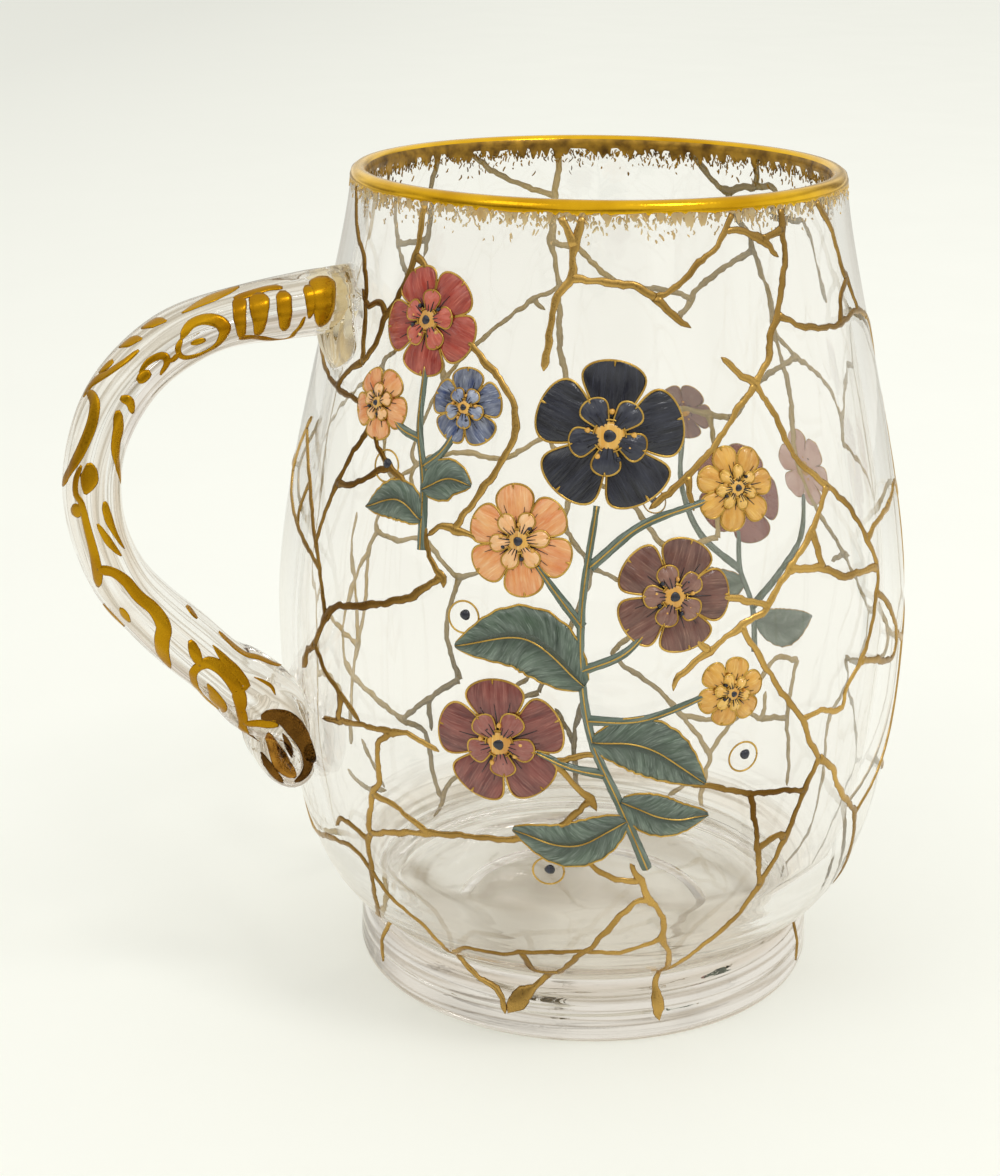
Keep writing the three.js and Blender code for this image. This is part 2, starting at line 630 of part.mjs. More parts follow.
// Gilt scrolls on the front flank, from the top joint to the curl
const SCROLLS = {
  patch: [[10.5, -2.4], [10.2, 0], [10, 2.6]],
  loops: [
    [12.6, -0.4], [14.1, -2.4], [16.1, -2.9], [22.2, -1.9], [21.6, 0.9], [21, 2.4], [17.2, 2.4],
    [15.4, 0.3],
  ],
  oval: [
    [29.9, 1.5], [28.2, 2.6], [26.3, 2.3], [24.9, 1.1], [25, -0.6], [26.4, -1.9], [28.5, -2.1],
    [31.1, -1.3],
  ],
  hook: [[33.6, -0.5], [33.6, 0.8], [35.4, 1.3], [37.8, 0.4], [38.2, -1.4]],
  outer_line: [
    [37, 3], [39.2, 2.9], [42.3, 3], [43.3, 2.4], [45.3, 2.1], [48.4, 2.4], [50.8, 2.9],
    [53.1, 3.3],
  ],
  long_scroll: [
    [50.5, 0.3], [55.5, 1.3], [61.6, 1.5], [64.6, 2.9], [66, 1], [68.2, -0.4], [71, -0.5], [74.2, -0.9],
    [77, 0], [79, 2.2], [81.7, 3.3],
  ],
  lower_scroll: [[90.4, 3.2], [87.4, 3.2], [85.7, 1.9], [87, 0.2], [91.2, 0.2], [94.3, 1.2], [96.6, 2]],
};

function scrollBand(surface, route) {
  const widthAt = (share) => SCROLL_WIDTH * (0.7 + 0.3 * Math.sin(Math.PI * share));
  return band(surface, route, { section: FLAT, widthAt, thick: SCROLL_THICK, step: SCROLL_STEP });
}

const clearGlass = { color: 0xf4f1ee, roughness: 0.03, metalness: 0, transparent: true, opacity: 0.35 };
const gold = { color: 0xa67a24, roughness: 0.32, metalness: 1 };
const brightGold = { color: 0xc8932a, roughness: 0.18, metalness: 1 };
const leafGreen = { color: 0x4c6350, roughness: 0.25, metalness: 0 };

const mug = new THREE.Group();

function addPiece(name, geometry, look) {
  const mesh = new THREE.Mesh(geometry, new THREE.MeshStandardMaterial(look));
  mesh.name = name;
  mug.add(mesh);
}

addPiece("foot", foot(), clearGlass);
addPiece("bowl", bowl(), clearGlass);
addPiece("handle", toGeometry(handle()), clearGlass);
addPiece("rim_gilding", rimBand(), brightGold);

const networks = {
  gilt_veins_left: VEINS_LEFT,
  gilt_veins_lower: VEINS_LOWER,
  gilt_veins_upper: VEINS_UPPER,
  gilt_veins_right: VEINS_RIGHT,
  gilt_veins_side: VEINS_SIDE,
  gilt_veins_back: VEINS_BACK,
};
for (const [name, routes] of Object.entries(networks)) {
  addPiece(name, toGeometry(veinNetwork(routes)), gold);
}

const veinRoom = roomForVeins(Object.values(networks).flat());
const sprays = {
  front_spray_foliage: foliage(FRONT_STEMS, FRONT_LEAVES),
  left_spray_foliage: foliage(LEFT_STEMS, LEFT_LEAVES),
  back_spray_foliage: foliage(BACK_STEMS, BACK_LEAVES),
};
for (const [name, solid] of Object.entries(sprays)) {
  addPiece(name, toGeometry(solid.subtract(veinRoom)), leafGreen);
}
for (const [name, bloom] of Object.entries(BLOOMS)) {
  const head = toSolid(rosette(bloom)).subtract(veinRoom);
  addPiece(name, toGeometry(head), { color: bloom.color, roughness: 0.25, metalness: 0 });
}

// The front flank faces the viewer, on the -Y side. The other one is bare.
const frontFlank = flankSurface(-1);
for (const [name, route] of Object.entries(SCROLLS)) {
  addPiece(`gilt_${name}_front`, scrollBand(frontFlank, route), gold);
}

export default mug;
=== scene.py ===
import math
import random
from collections import Counter

import bpy
import numpy as np
from bpy.props import FloatProperty, FloatVectorProperty, PointerProperty
from mathutils import Matrix, Vector
from mathutils.bvhtree import BVHTree


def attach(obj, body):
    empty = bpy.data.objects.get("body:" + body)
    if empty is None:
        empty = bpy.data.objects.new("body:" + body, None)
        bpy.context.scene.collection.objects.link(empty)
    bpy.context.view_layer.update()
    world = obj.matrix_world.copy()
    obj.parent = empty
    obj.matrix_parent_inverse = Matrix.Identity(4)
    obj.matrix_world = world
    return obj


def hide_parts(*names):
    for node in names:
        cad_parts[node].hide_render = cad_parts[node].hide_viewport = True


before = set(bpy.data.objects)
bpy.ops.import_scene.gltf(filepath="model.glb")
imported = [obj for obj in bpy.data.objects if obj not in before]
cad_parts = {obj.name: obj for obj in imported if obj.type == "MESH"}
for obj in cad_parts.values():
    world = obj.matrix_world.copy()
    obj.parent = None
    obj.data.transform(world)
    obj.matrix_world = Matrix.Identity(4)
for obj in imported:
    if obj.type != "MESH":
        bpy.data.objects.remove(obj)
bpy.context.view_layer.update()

bl_info = {
    "name": "Gilt Glass Mug",
    "version": (1, 0, 0),
    "blender": (4, 5, 0),
    "location": "View3D > Sidebar > Mug",
    "description": "Dresses a blown glass mug with its handle, gilding and enamelled flower sprays",
    "category": "Add Mesh",
}

# Every size below is in millimetres and every angle in degrees, unless its name says otherwise.
MM = 0.001
BODY = "root"
STROKE_MAP = "StrokeMap"

# The glass, from the flat underside up. Low down its wall is thicker by the swell.
GLASS_HEIGHT = 124.7
RIM_RADIUS = 36.0
RIM_SHOULDER = 123.5
LIP_WALL = 2.3
LIP_MIDDLE = [RIM_RADIUS - LIP_WALL / 2, GLASS_HEIGHT - LIP_WALL / 2]
WALL = 2.9
WALL_SWELL = 0.3
BELLY_RADIUS = 48.0
BELLY_HEIGHT = 58.3
WAIST_RADIUS = 36.2
WAIST_HEIGHT = 12.0
FOOT_RADIUS = 36.0
FOOT_TOP = 5.0
FOOT_EDGE = 1.5
FLOOR_RADIUS = 25.0
FLOOR_HEIGHT = 8.2
INSIDE_TURN = 26.0
PONTIL_RADIUS = 19.0
PONTIL_DEPTH = 1.1

# Rings that shaping leaves in the surface near the foot, as [size, turns per height, wander]
TOOL_RINGS = [(1.0, 2.3, 1.0), (0.7, 4.7, -2.0), (0.4, 7.9, 0.0)]
RING_DEPTH = 0.05
RING_MIDDLE = 10.0
RING_REACH = 8.5

# Points round the body
GLASS_SIDES = 200

# The handle's strap: its section is an oval, thick in the handle's plane and wide across it
STRAP_THICK = 8.0
STRAP_WIDE = 11.5
STRAP_TOP_THICK = 9.6
STRAP_LOW_THICK = 9.3
STRAP_END_THICK = 11.3
STRAP_RIBS = 13
STRAP_RIB_DEPTH = 0.14
APRON_RIBS = 7

# Distances along the strap are counted from this far from the axis, and its points lie this far apart.
STRAP_ROOT = 34.0
STRAP_STEP = 0.5
STRAP_SIDES = 104

# Where the strap's changes of size begin, and over which distance they run
NECK_START = 4.0
NECK_RUN = 6.5
NECK_SHARE = 0.45
TOP_RUN = 26.0
LOW_START = 66.0
LOW_RUN = 20.0
END_START = 88.0
END_RUN = 9.0
TIP_RUN = 5.0

# Millimetres per degree round the strap
ROUND_STRAP = 0.085

# The gilding and the enamel. A vein swells by shares of its width over lengths, and widens at a junction.
VEIN_WIDTH = 1.0
VEIN_STEP = 0.7
VEIN_WIDTH_SPREAD = (0.88, 1.12)
VEIN_SWELLS = [(0.17, 9.0), (0.07, 2.6)]
VEIN_WEB = 0.34
VEIN_SWAY = 0.16
GILT_TOP = 122.7
RIM_GOLD_SIDES = 900
OUTLINE_WIDTH = 0.34

# The undersides of gold and enamel lie this far off the glass, which is a little inside it.
SUNK = -0.03

# A ray that has been mirrored this often in the glass goes straight on, because real glass traps no light.
MOST_TURNS = 2.5

# The stroke maps of the strap and of its joint start this far up, so that they never meet the body's
STRAP_MAP_START = 500.0
APRON_MAP_START = 900.0

# The scales of the glass's slow waves and drawn lines, how far each noise is stretched along the axes, and
# between which values its lines and its haze fade. The bump of waves, grain and brush is in metres.
WAVE_SCALE = 26.0
LINE_SCALE = 0.32
WAVE_STRETCH = (1.0, 1.0, 0.35)
LINE_STRETCH = (1.0, 0.03, 1.0)
HAZE_STRETCH = (0.26, 0.02, 1.0)
RING_STRETCH = (14.0, 14.0, 560.0)
WIDE_RING_STRETCH = (9.0, 9.0, 260.0)
# The lines and haze darken and warm the glass's colour: partly its own drawn streaks, partly painted shade.
LINE_EDGE = (0.008, 0.05)
HAZE_EDGE = (0.48, 0.62)
WORN_EDGE = (0.38, 0.68)
WALL_STREAKS = 0.04
RING_RELIEF = 0.4
RIPPLE_DEPTH = 0.00022
GRAIN_DEPTH = 0.00004
BRUSH_DEPTH = 0.00012

# Rings that the tool leaves round the thick lower glass, drawn as dark lines and haze of partly painted
# shade: bold up to the first height, fading up to the second, and seen only towards the sides of the mug up
# to the third, where the edge's painted shade shows them
RINGS_FULL = 11.0
RINGS_FADED = 19.0
RINGS_GONE = 50.0

# Bearings run round the mug, rightwards from the side that faces the viewer.
# The viewer's side lies this far round from the handle's own side.
FRONT_TURN = 24.5
HANDLE_BEARING = FRONT_TURN - 90.0

# The camera stands this far from the axis and this high, and its picture is this large in pixels.
CAMERA_DISTANCE = 314.5
CAMERA_HEIGHT = 166.6
CAMERA_PITCH = 18.83
CAMERA_YAW = -2.53
CAMERA_ROLL = 0.4
FOCAL_PIXELS = 2134.0
PICTURE_HEIGHT_PIXELS = 1176.0
SENSOR = 36.0

# The room's colours, and where the lamps look, in metres
ROOM_WHITE = (0.97, 0.97, 0.91)
ROOM_TOP = (1.0, 1.0, 0.97)
LAMP_AIM = (0.0, 0.0, 0.06)

# Golds that show only on small parts or from behind, as [full, thin] colours
# Partly painted shade: the band's underside, seen from behind, is a dark olive brown, as the back of the
# gold is and as it looks against the light.
RIM_BACK_AND_SHADE = [(0.4, 0.24, 0.05), (0.14, 0.08, 0.015)]
# Painted light: the inner gold's underside, seen from outside through the wall, is pale so that it looks lit
# rather than shaded.
RIM_BACK_PAINTED_LIGHT = [(0.95, 0.78, 0.45), (0.75, 0.5, 0.18)]
AMBER_GOLD = [(0.42, 0.2, 0.03), (0.2, 0.08, 0.012)]
FINE_LINE_GOLD = [(0.66, 0.42, 0.1), (0.4, 0.22, 0.04)]


def cubic(start, pull_start, pull_end, end, count):
    """Points of a cubic curve, as rows of [radius, height]."""
    share = np.linspace(0.0, 1.0, count)[:, None]
    points = (1 - share) ** 3 * np.array(start, float)
    points = points + 3 * (1 - share) ** 2 * share * np.array(pull_start, float)
    points = points + 3 * (1 - share) * share ** 2 * np.array(pull_end, float)
    return points + share ** 3 * np.array(end, float)


def smooth_step(value):
    """Eases from 0 to 1, flat at both ends."""
    value = np.clip(value, 0.0, 1.0)
    return value * value * (3 - 2 * value)


def eased(value, start, run):
    """Eases from 0 to 1 over a run that begins at start."""
    return smooth_step((value - start) / run)


WAIST_CURVE = cubic((FOOT_RADIUS, FOOT_TOP), (35.7, 8.0), (33.2, 10.3), (WAIST_RADIUS, WAIST_HEIGHT), 30)
SHOULDER_CURVE = cubic(
    (WAIST_RADIUS, WAIST_HEIGHT), (45.9, 17.5), (BELLY_RADIUS, 39.8), (BELLY_RADIUS, BELLY_HEIGHT), 90
)
UPPER_CURVE = cubic(
    (BELLY_RADIUS, BELLY_HEIGHT), (BELLY_RADIUS, 77.9), (37.0, 111.1), (RIM_RADIUS, RIM_SHOULDER), 64
)
OUTSIDE = np.vstack([WAIST_CURVE, SHOULDER_CURVE[1:], UPPER_CURVE[1:]])


def outside_radius(height):
    """The glass's outside radius at a height, straight up from the foot's edge."""
    return np.interp(height, OUTSIDE[:, 1], OUTSIDE[:, 0])


def wall_slope(height):
    """How fast the outside radius grows with height."""
    return (outside_radius(height + 0.4) - outside_radius(height - 0.4)) / 0.8


def round_angles(sides):
    """Evenly spaced angles round a circle, in radians."""
    return np.arange(sides) * 2 * math.pi / sides


def distances(steps):
    """The distance gone before each point of a line, from the steps between its points."""
    return np.concatenate([[0.0], np.cumsum(np.linalg.norm(steps, axis=1))])


def bearing_angle(bearing):
    """The angle about the Z axis, in radians, of a bearing in degrees."""
    return np.radians(np.asarray(bearing, float) - 90.0 - FRONT_TURN)


def blown_shift(height, angle):
    """How far the hand-blown wall strays from a true round, at a height and an angle in radians."""
    belly = np.sin(np.pi * np.clip(height / GLASS_HEIGHT, 0.0, 1.0))
    sway = 0.1 * np.cos(2 * angle + 0.7) + 0.07 * np.cos(3 * angle + height / 40.0)
    return belly * (sway + 0.02 * np.sin(7 * angle + height / 9.0))


def on_glass(bearing, height, lift):
    """Points on the outside of the glass, raised by lift along its own normal."""
    height = np.asarray(height, float)
    slope = np.clip(wall_slope(height), -0.9, 0.9)
    length = np.sqrt(1 + slope ** 2)
    angle = bearing_angle(bearing)
    radius = outside_radius(height) + blown_shift(height, angle) + lift / length
    level = height - lift * slope / length
    return np.stack([radius * np.cos(angle), radius * np.sin(angle), level], axis=-1)


def glass_scale(height):
    """Millimetres along the glass per degree of bearing and per millimetre of height."""
    height = np.asarray(height, float)
    return np.radians(outside_radius(height)), np.hypot(1.0, wall_slope(height))


# Meshes


def new_object(name, data):
    """An object of the scene that holds the given data."""
    made = bpy.data.objects.new(name, data)
    bpy.context.scene.collection.objects.link(made)
    return made


def make_piece(name, vertices, faces, materials, face_materials=None, stroke_map=None):
    """A smooth-shaded mesh object from millimetre vertices, with an optional map of [u, v] per vertex."""
    mesh = bpy.data.meshes.new(name)
    mesh.from_pydata((np.asarray(vertices) * MM).tolist(), [], faces)
    mesh.shade_smooth()
    for material in materials:
        mesh.materials.append(material)
    if face_materials is not None:
        mesh.polygons.foreach_set("material_index", np.asarray(face_materials, np.int32))
    if stroke_map is not None:
        corners = np.zeros(len(mesh.loops), np.int32)
        mesh.loops.foreach_get("vertex_index", corners)
        layer = mesh.uv_layers.new(name=STROKE_MAP)
        layer.data.foreach_set("uv", np.asarray(stroke_map, np.float32)[corners].ravel())
    return new_object(name, mesh)


def settle(piece, slot, *nodes):
    """Rides the piece on the mug and lets it stand for the CAD nodes; the slot is not used."""
    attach(piece, BODY)
    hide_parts(*nodes)


def turned_out(vertices, faces):
    """The faces of a closed part, turned over if they look inwards."""
    centred = np.asarray(vertices) - np.mean(vertices, axis=0)
    volume = 0.0
    quads = np.array([face for face in faces if len(face) == 4])
    if len(quads):
        a, b, c, d = (centred[quads[:, k]] for k in range(4))
        volume += np.einsum("ij,ij->", a, np.cross(b, c)) + np.einsum("ij,ij->", a, np.cross(c, d))
    for face in faces:
        if len(face) != 4:
            first = centred[face[0]]
            for k in range(1, len(face) - 1):
                volume += first @ np.cross(centred[face[k]], centred[face[k + 1]])
    return [face[::-1] for face in faces] if volume < 0 else faces


class Gathered:
    """Collects closed parts of one mesh, each with its own vertices, faces and material."""

    def __init__(self):
        self.vertices = []
        self.faces = []
        self.materials = []
        self.strokes = []
        self.count = 0

    def add(self, vertices, faces, material=0, strokes=None):
        """Adds a part. material is one number or one for each face."""
        self.vertices.append(np.asarray(vertices, float))
        faces = turned_out(vertices, faces)
        self.faces.extend([[corner + self.count for corner in face] for face in faces])
        numbers = material if hasattr(material, "__len__") else [material] * len(faces)
        self.materials.extend(numbers)
        if strokes is None:
            strokes = np.zeros((len(vertices), 2))
        self.strokes.append(np.asarray(strokes, float))
        self.count += len(vertices)

    def piece(self, name, materials):
        """The collected parts as one object."""
        vertices = np.vstack(self.vertices)
        strokes = np.vstack(self.strokes)
        return make_piece(name, vertices, self.faces, materials, self.materials, strokes)


def ring_faces(rings, sides, closed_ends=True):
    """Quads that join rings of points in turn, with a flat face at each end."""
    faces = []
    for i in range(rings - 1):
        for j in range(sides):
            a = i * sides + j
            b = i * sides + (j + 1) % sides
            faces.append([a, b, b + sides, a + sides])
    if closed_ends:
        last = (rings - 1) * sides
        faces.append([sides - 1 - j for j in range(sides)])
        faces.append([last + j for j in range(sides)])
    return faces


def turned_faces(sides, count):
    """Quads between the copies of a closed outline of count points that is turned about the Z axis."""
    faces = []
    for i in range(sides):
        here = i * count
        there = ((i + 1) % sides) * count
        for j in range(count):
            k = (j + 1) % count
            faces.append([here + j, there + j, there + k, here + k])
    return faces


def revolve(profile, sides, reshape=None):
    """Vertices and faces of a closed profile of [radius, height] turned about the Z axis."""
    profile = np.asarray(profile, float)
    angles = round_angles(sides)
    radius = np.repeat(profile[None, :, 0], sides, axis=0)
    height = np.repeat(profile[None, :, 1], sides, axis=0)
    if reshape is not None:
        radius, height = reshape(radius, height, angles[:, None])
    x = radius * np.cos(angles)[:, None]
    y = radius * np.sin(angles)[:, None]
    vertices = np.stack([x, y, height], axis=-1).reshape(-1, 3)
    return vertices, turned_faces(sides, len(profile))


def along_curve(points, step, closed=False):
    """Evenly spaced points on a smooth curve through the given points."""
    points = np.asarray(points, float)
    if closed:
        padded = np.vstack([points[-1], points, points[0], points[1]])
    else:
        padded = np.vstack([2 * points[0] - points[1], points, 2 * points[-1] - points[-2]])
    pieces = []
    for i in range(1, len(padded) - 2):
        before, start, end, after = padded[i - 1:i + 3]
        share = np.linspace(0.0, 1.0, 12, endpoint=False)[:, None]
        bend = 2 * before - 5 * start + 4 * end - after
        turn = 3 * start - before - 3 * end + after
        pieces.append(0.5 * (2 * start + (end - before) * share + bend * share ** 2 + turn * share ** 3))
    if not closed:
        pieces.append(padded[-2][None])
    else:
        pieces.append(points[0][None])
    fine = np.vstack(pieces)
    gone = distances(np.diff(fine, axis=0))
    count = max(3, int(math.ceil(gone[-1] / step)) + 1)
    wanted = np.linspace(0.0, gone[-1], count)
    columns = [np.interp(wanted, gone, fine[:, k]) for k in range(fine.shape[1])]
    return np.stack(columns, axis=1)


def sheet_between(top, under):
    """Vertices and faces of a thin closed sheet between two grids of points."""
    rows, columns = top.shape[:2]
    rings = np.concatenate([top, under[:, ::-1]], axis=1)
    vertices = rings.reshape(-1, 3)
    return vertices, ring_faces(rows, 2 * columns)


# Cross sections of a painted line, as [share of the half width, lift in millimetres]
VEIN_SECTION = np.array(
    [[-1, -0.06], [-0.84, 0.1], [-0.45, 0.2], [0, 0.24], [0.45, 0.2], [0.84, 0.1], [1, -0.06]]
)
FLAT_SECTION = np.array(
    [[-1, -0.05], [-0.88, 0.08], [-0.5, 0.11], [0, 0.12], [0.5, 0.11], [0.88, 0.08], [1, -0.05]]
)
FINE_SECTION = np.array([[-1, -0.03], [-0.6, 0.08], [0, 0.12], [0.6, 0.08], [1, -0.03]])
STEM_SECTION = np.array([[-1, -0.03], [-0.8, 0.2], [-0.3, 0.38], [0.3, 0.38], [0.8, 0.2], [1, -0.03]])


def painted_line(place, scale, route, widths, section, lift=0.0):
    """A raised line along a route on a surface, with 1 for each face of its underside and 0 elsewhere."""
    route = np.asarray(route, float)
    su, sv = scale(route[:, 1])
    ahead = np.vstack([route[1:], route[-1:]])
    behind = np.vstack([route[:1], route[:-1]])
    way = (ahead - behind) * np.stack([su, sv], axis=1)
    way /= np.maximum(np.linalg.norm(way, axis=1), 1e-9)[:, None]
    half = np.broadcast_to(np.asarray(widths, float), len(route))[:, None] / 2 * section[None, :, 0]
    u = route[:, :1] + way[:, 1:2] * half / su[:, None]
    v = route[:, 1:2] - way[:, :1] * half / sv[:, None]
    rise = section[None, :, 1] + np.reshape(lift, (-1, 1))
    vertices = place(u, v, np.broadcast_to(rise, u.shape)).reshape(-1, 3)
    sides = len(section)
    faces = ring_faces(len(route), sides)
    underside = [int(j == sides - 1) for _ in range(len(route) - 1) for j in range(sides)] + [0, 0]
    return vertices, faces, underside


def glass_distance(route):
    """The distance gone along a route on the glass, in millimetres."""
    su, sv = glass_scale(route[:, 1])
    return distances(np.diff(route, axis=0) * np.stack([su, sv], axis=1)[:-1])


def even_route(route, step):
    """A smooth route on the glass with a point every step or so."""
    route = np.asarray(route, float)
    scale = glass_scale(route[:, 1].mean())
    return along_curve(route * scale, step) / scale


def slow_noise(rng, distance, wavelength):
    """A smooth random run of values from about -1 to 1 along a distance."""
    value = np.zeros_like(distance)
    for octave in range(3):
        length = wavelength / 1.9 ** octave
        phase = rng.uniform(0, 2 * math.pi)
        value = value + np.sin(2 * math.pi * distance / length + phase) / 1.5 ** octave
    return value / 1.8


# Materials


class Shading:
    """The nodes of one material, group or world, with short ways to add more."""

    def __init__(self, tree):
        self.nodes = tree.nodes
        self.links = tree.links

    def feed(self, socket, value):
        """Gives an input a link, a colour or a plain value."""
        if isinstance(value, bpy.types.NodeSocket):
            self.links.new(value, socket)
        elif socket.type == "RGBA":
            socket.default_value = (*value, 1.0)
        else:
            socket.default_value = value

    def add(self, kind, settings=None, **inputs):
        """A node of a kind with its settings and its inputs, whose names have _ for a space."""
        node = self.nodes.new(f"ShaderNode{kind}")
        for label, value in (settings or {}).items():
            setattr(node, label, value)
        for label, value in inputs.items():
            self.feed(node.inputs[label.replace("_", " ")], value)
        return node

    def math(self, operation, first, second=None, clamp=False):
        """A sum of sockets or numbers."""
        node = self.add("Math", {"operation": operation, "use_clamp": clamp})
        self.feed(node.inputs[0], first)
        if second is not None:
            self.feed(node.inputs[1], second)
        return node.outputs[0]

    def times(self, first, second):
        """The product of sockets or numbers."""
        return self.math("MULTIPLY", first, second)

    def noise(self, place, scale, detail=3.0, roughness=0.5):
        """The value of a noise texture at a place."""
        node = self.add("TexNoise", Vector=place, Scale=scale, Detail=detail, Roughness=roughness)
        return node.outputs["Fac"]

    def stretched(self, place, scale):
        """The place scaled by its own amount along each axis."""
        return self.add("Mapping", Vector=place, Scale=scale).outputs["Vector"]

    def ramp(self, value, stops):
        """The colour of a ramp with the given [position, colour] stops."""
        node = self.add("ValToRGB", Fac=value)
        elements = node.color_ramp.elements
        for element, (position, colour) in ((elements[0], stops[0]), (elements[1], stops[-1])):
            element.position = position
            element.color = (*colour, 1.0)
        for position, colour in stops[1:-1]:
            elements.new(position).color = (*colour, 1.0)
        return node.outputs["Color"]

    def mix(self, share, first, second):
        """The first colour turned into the second by a share from 0 to 1."""
        node = self.add("Mix", {"data_type": "RGBA"})
        for number, value in ((0, share), (6, first), (7, second)):
            self.feed(node.inputs[number], value)
        return node.outputs[2]

    def spread(self, value, low, high, to_low=0.0, to_high=1.0):
        """The value's run from low to high spread over another run, held at its ends."""
        node = self.add("MapRange", Value=value, From_Min=low, From_Max=high, To_Min=to_low, To_Max=to_high)
        return node.outputs["Result"]

    def bump(self, height, strength, distance):
        """The normal of a relief."""
        return self.add("Bump", Height=height, Strength=strength, Distance=distance).outputs["Normal"]

    def place(self, label):
        """A texture place of the given kind."""
        return self.add("TexCoord").outputs[label]

    def stroke_map(self):
        """The place on the piece's stroke map."""
        return self.add("UVMap", {"uv_map": STROKE_MAP}).outputs["UV"]

    def split(self, place):
        """The parts of a place along X, Y and Z."""
        return self.add("SeparateXYZ", Vector=place).outputs

    def placed(self, group, **inputs):
        """The outputs of a group that is used here with its own values."""
        return self.add("Group", {"node_tree": group}, **inputs).outputs

    def surface(self, **inputs):
        """Ends a material with one principled surface."""
        shader = self.add("BsdfPrincipled", **inputs).outputs["BSDF"]
        self.add("OutputMaterial", Surface=shader)


def new_material(name):
    """An empty node material and its shading."""
    material = bpy.data.materials.new(name)
    material.use_nodes = True
    material.node_tree.nodes.clear()
    return material, Shading(material.node_tree)


def new_group(name, inputs, outputs):
    """An empty shader group of numbers, its shading, and the sockets that enter and leave it."""
    group = bpy.data.node_groups.new(name, "ShaderNodeTree")
    for label, default in inputs.items():
        socket = group.interface.new_socket(name=label, in_out="INPUT", socket_type="NodeSocketFloat")
        socket.default_value = default
    for label in outputs:
        group.interface.new_socket(name=label, in_out="OUTPUT", socket_type="NodeSocketFloat")
    entry = group.nodes.new("NodeGroupInput").outputs
    leave = group.nodes.new("NodeGroupOutput").inputs
    return group, Shading(group), entry, leave


def blown_ripple_group():
    """Hand-blown glass: slow waves, and masks for lines and haze along the handle and rings round the low
    part, which carry partly painted shade.
    """
    inputs = {"Wave Scale": WAVE_SCALE, "Line Scale": LINE_SCALE}
    outputs = ("Height", "Lines", "Side Lines", "Haze", "Joint")
    group, tree, entry, leave = new_group("Blown Ripples", inputs, outputs)
    place = tree.place("Object")
    chart = tree.stroke_map()
    level = tree.split(chart)["Y"]
    on_strap = tree.math("GREATER_THAN", level, 0.5 * STRAP_MAP_START)
    off_strap = tree.math("SUBTRACT", 1.0, on_strap)
    low = tree.spread(level, RINGS_FULL, RINGS_FADED, 1.0, 0.0)
    middle = tree.spread(level, RINGS_FADED, RINGS_GONE, 1.0, 0.0)
    wave = tree.noise(tree.stretched(place, WAVE_STRETCH), entry["Wave Scale"], 1.0)
    drawn = tree.noise(tree.stretched(chart, LINE_STRETCH), entry["Line Scale"], 1.0)
    broad = tree.noise(tree.stretched(chart, HAZE_STRETCH), 1.0, 1.0)
    rings = tree.noise(tree.stretched(place, RING_STRETCH), 1.0, 1.5)
    wide_rings = tree.noise(tree.stretched(place, WIDE_RING_STRETCH), 1.0, 1.0)
    thin = []
    for value in (drawn, rings):
        away = tree.math("ABSOLUTE", tree.math("SUBTRACT", value, 0.5))
        thin.append(tree.spread(away, *LINE_EDGE, 1.0, 0.0))
    wide = [tree.spread(value, *HAZE_EDGE) for value in (broad, wide_rings)]
    for label, (first, second), where, other in (
        ("Lines", thin, on_strap, low),
        ("Side Lines", thin, off_strap, middle),
        ("Haze", wide, on_strap, low),
    ):
        tree.feed(leave[label], tree.math("MAXIMUM", tree.times(first, where), tree.times(second, other)))
    tree.feed(leave["Joint"], tree.math("GREATER_THAN", level, APRON_MAP_START))
    along = tree.spread(on_strap, 0.0, 1.0, WALL_STREAKS, 1.0)
    ringed = tree.times(tree.times(rings, low), RING_RELIEF)
    relief = tree.math("ADD", tree.times(drawn, along), ringed)
    tree.feed(leave["Height"], tree.math("ADD", wave, relief))
    return group


def gilding_group():
    """Gold fired onto glass: worn and thin in places, with fine brush grain."""
    inputs = {"Patch Scale": 160.0, "Grain Scale": 2600.0}
    group, tree, entry, leave = new_group("Gilding Wear", inputs, ("Thin", "Grain"))
    place = tree.place("Object")
    patch = tree.noise(place, entry["Patch Scale"], 4.0)
    tree.feed(leave["Thin"], tree.spread(patch, *WORN_EDGE))
    tree.feed(leave["Grain"], tree.noise(place, entry["Grain Scale"], 2.0))
    return group


def brush_group():
    """Strokes of a loaded brush, which run along V of the stroke map."""
    outputs = ("Stroke", "Streak", "Shade", "Depth")
    group, tree, entry, leave = new_group("Enamel Brush", {"Strokes Across": 9.0}, outputs)
    spot = tree.split(tree.stroke_map())
    across = tree.times(spot["X"], entry["Strokes Across"])
    for label, widen, lengthen, low, high in (
        ("Stroke", 1.0, 1.1, 0.36, 0.66),
        ("Streak", 3.2, 1.8, 0.54, 0.72),
        ("Shade", 0.3, 0.9, 0.35, 0.65),
    ):
        joined = tree.add("CombineXYZ", X=tree.times(across, widen), Y=tree.times(spot["Y"], lengthen))
        value = tree.noise(joined.outputs["Vector"], 1.0, 4.0, 0.6)
        tree.feed(leave[label], tree.spread(value, low, high))
    tree.feed(leave["Depth"], tree.spread(spot["Y"], 0.0, 0.6, 1.0, 0.0))
    return group


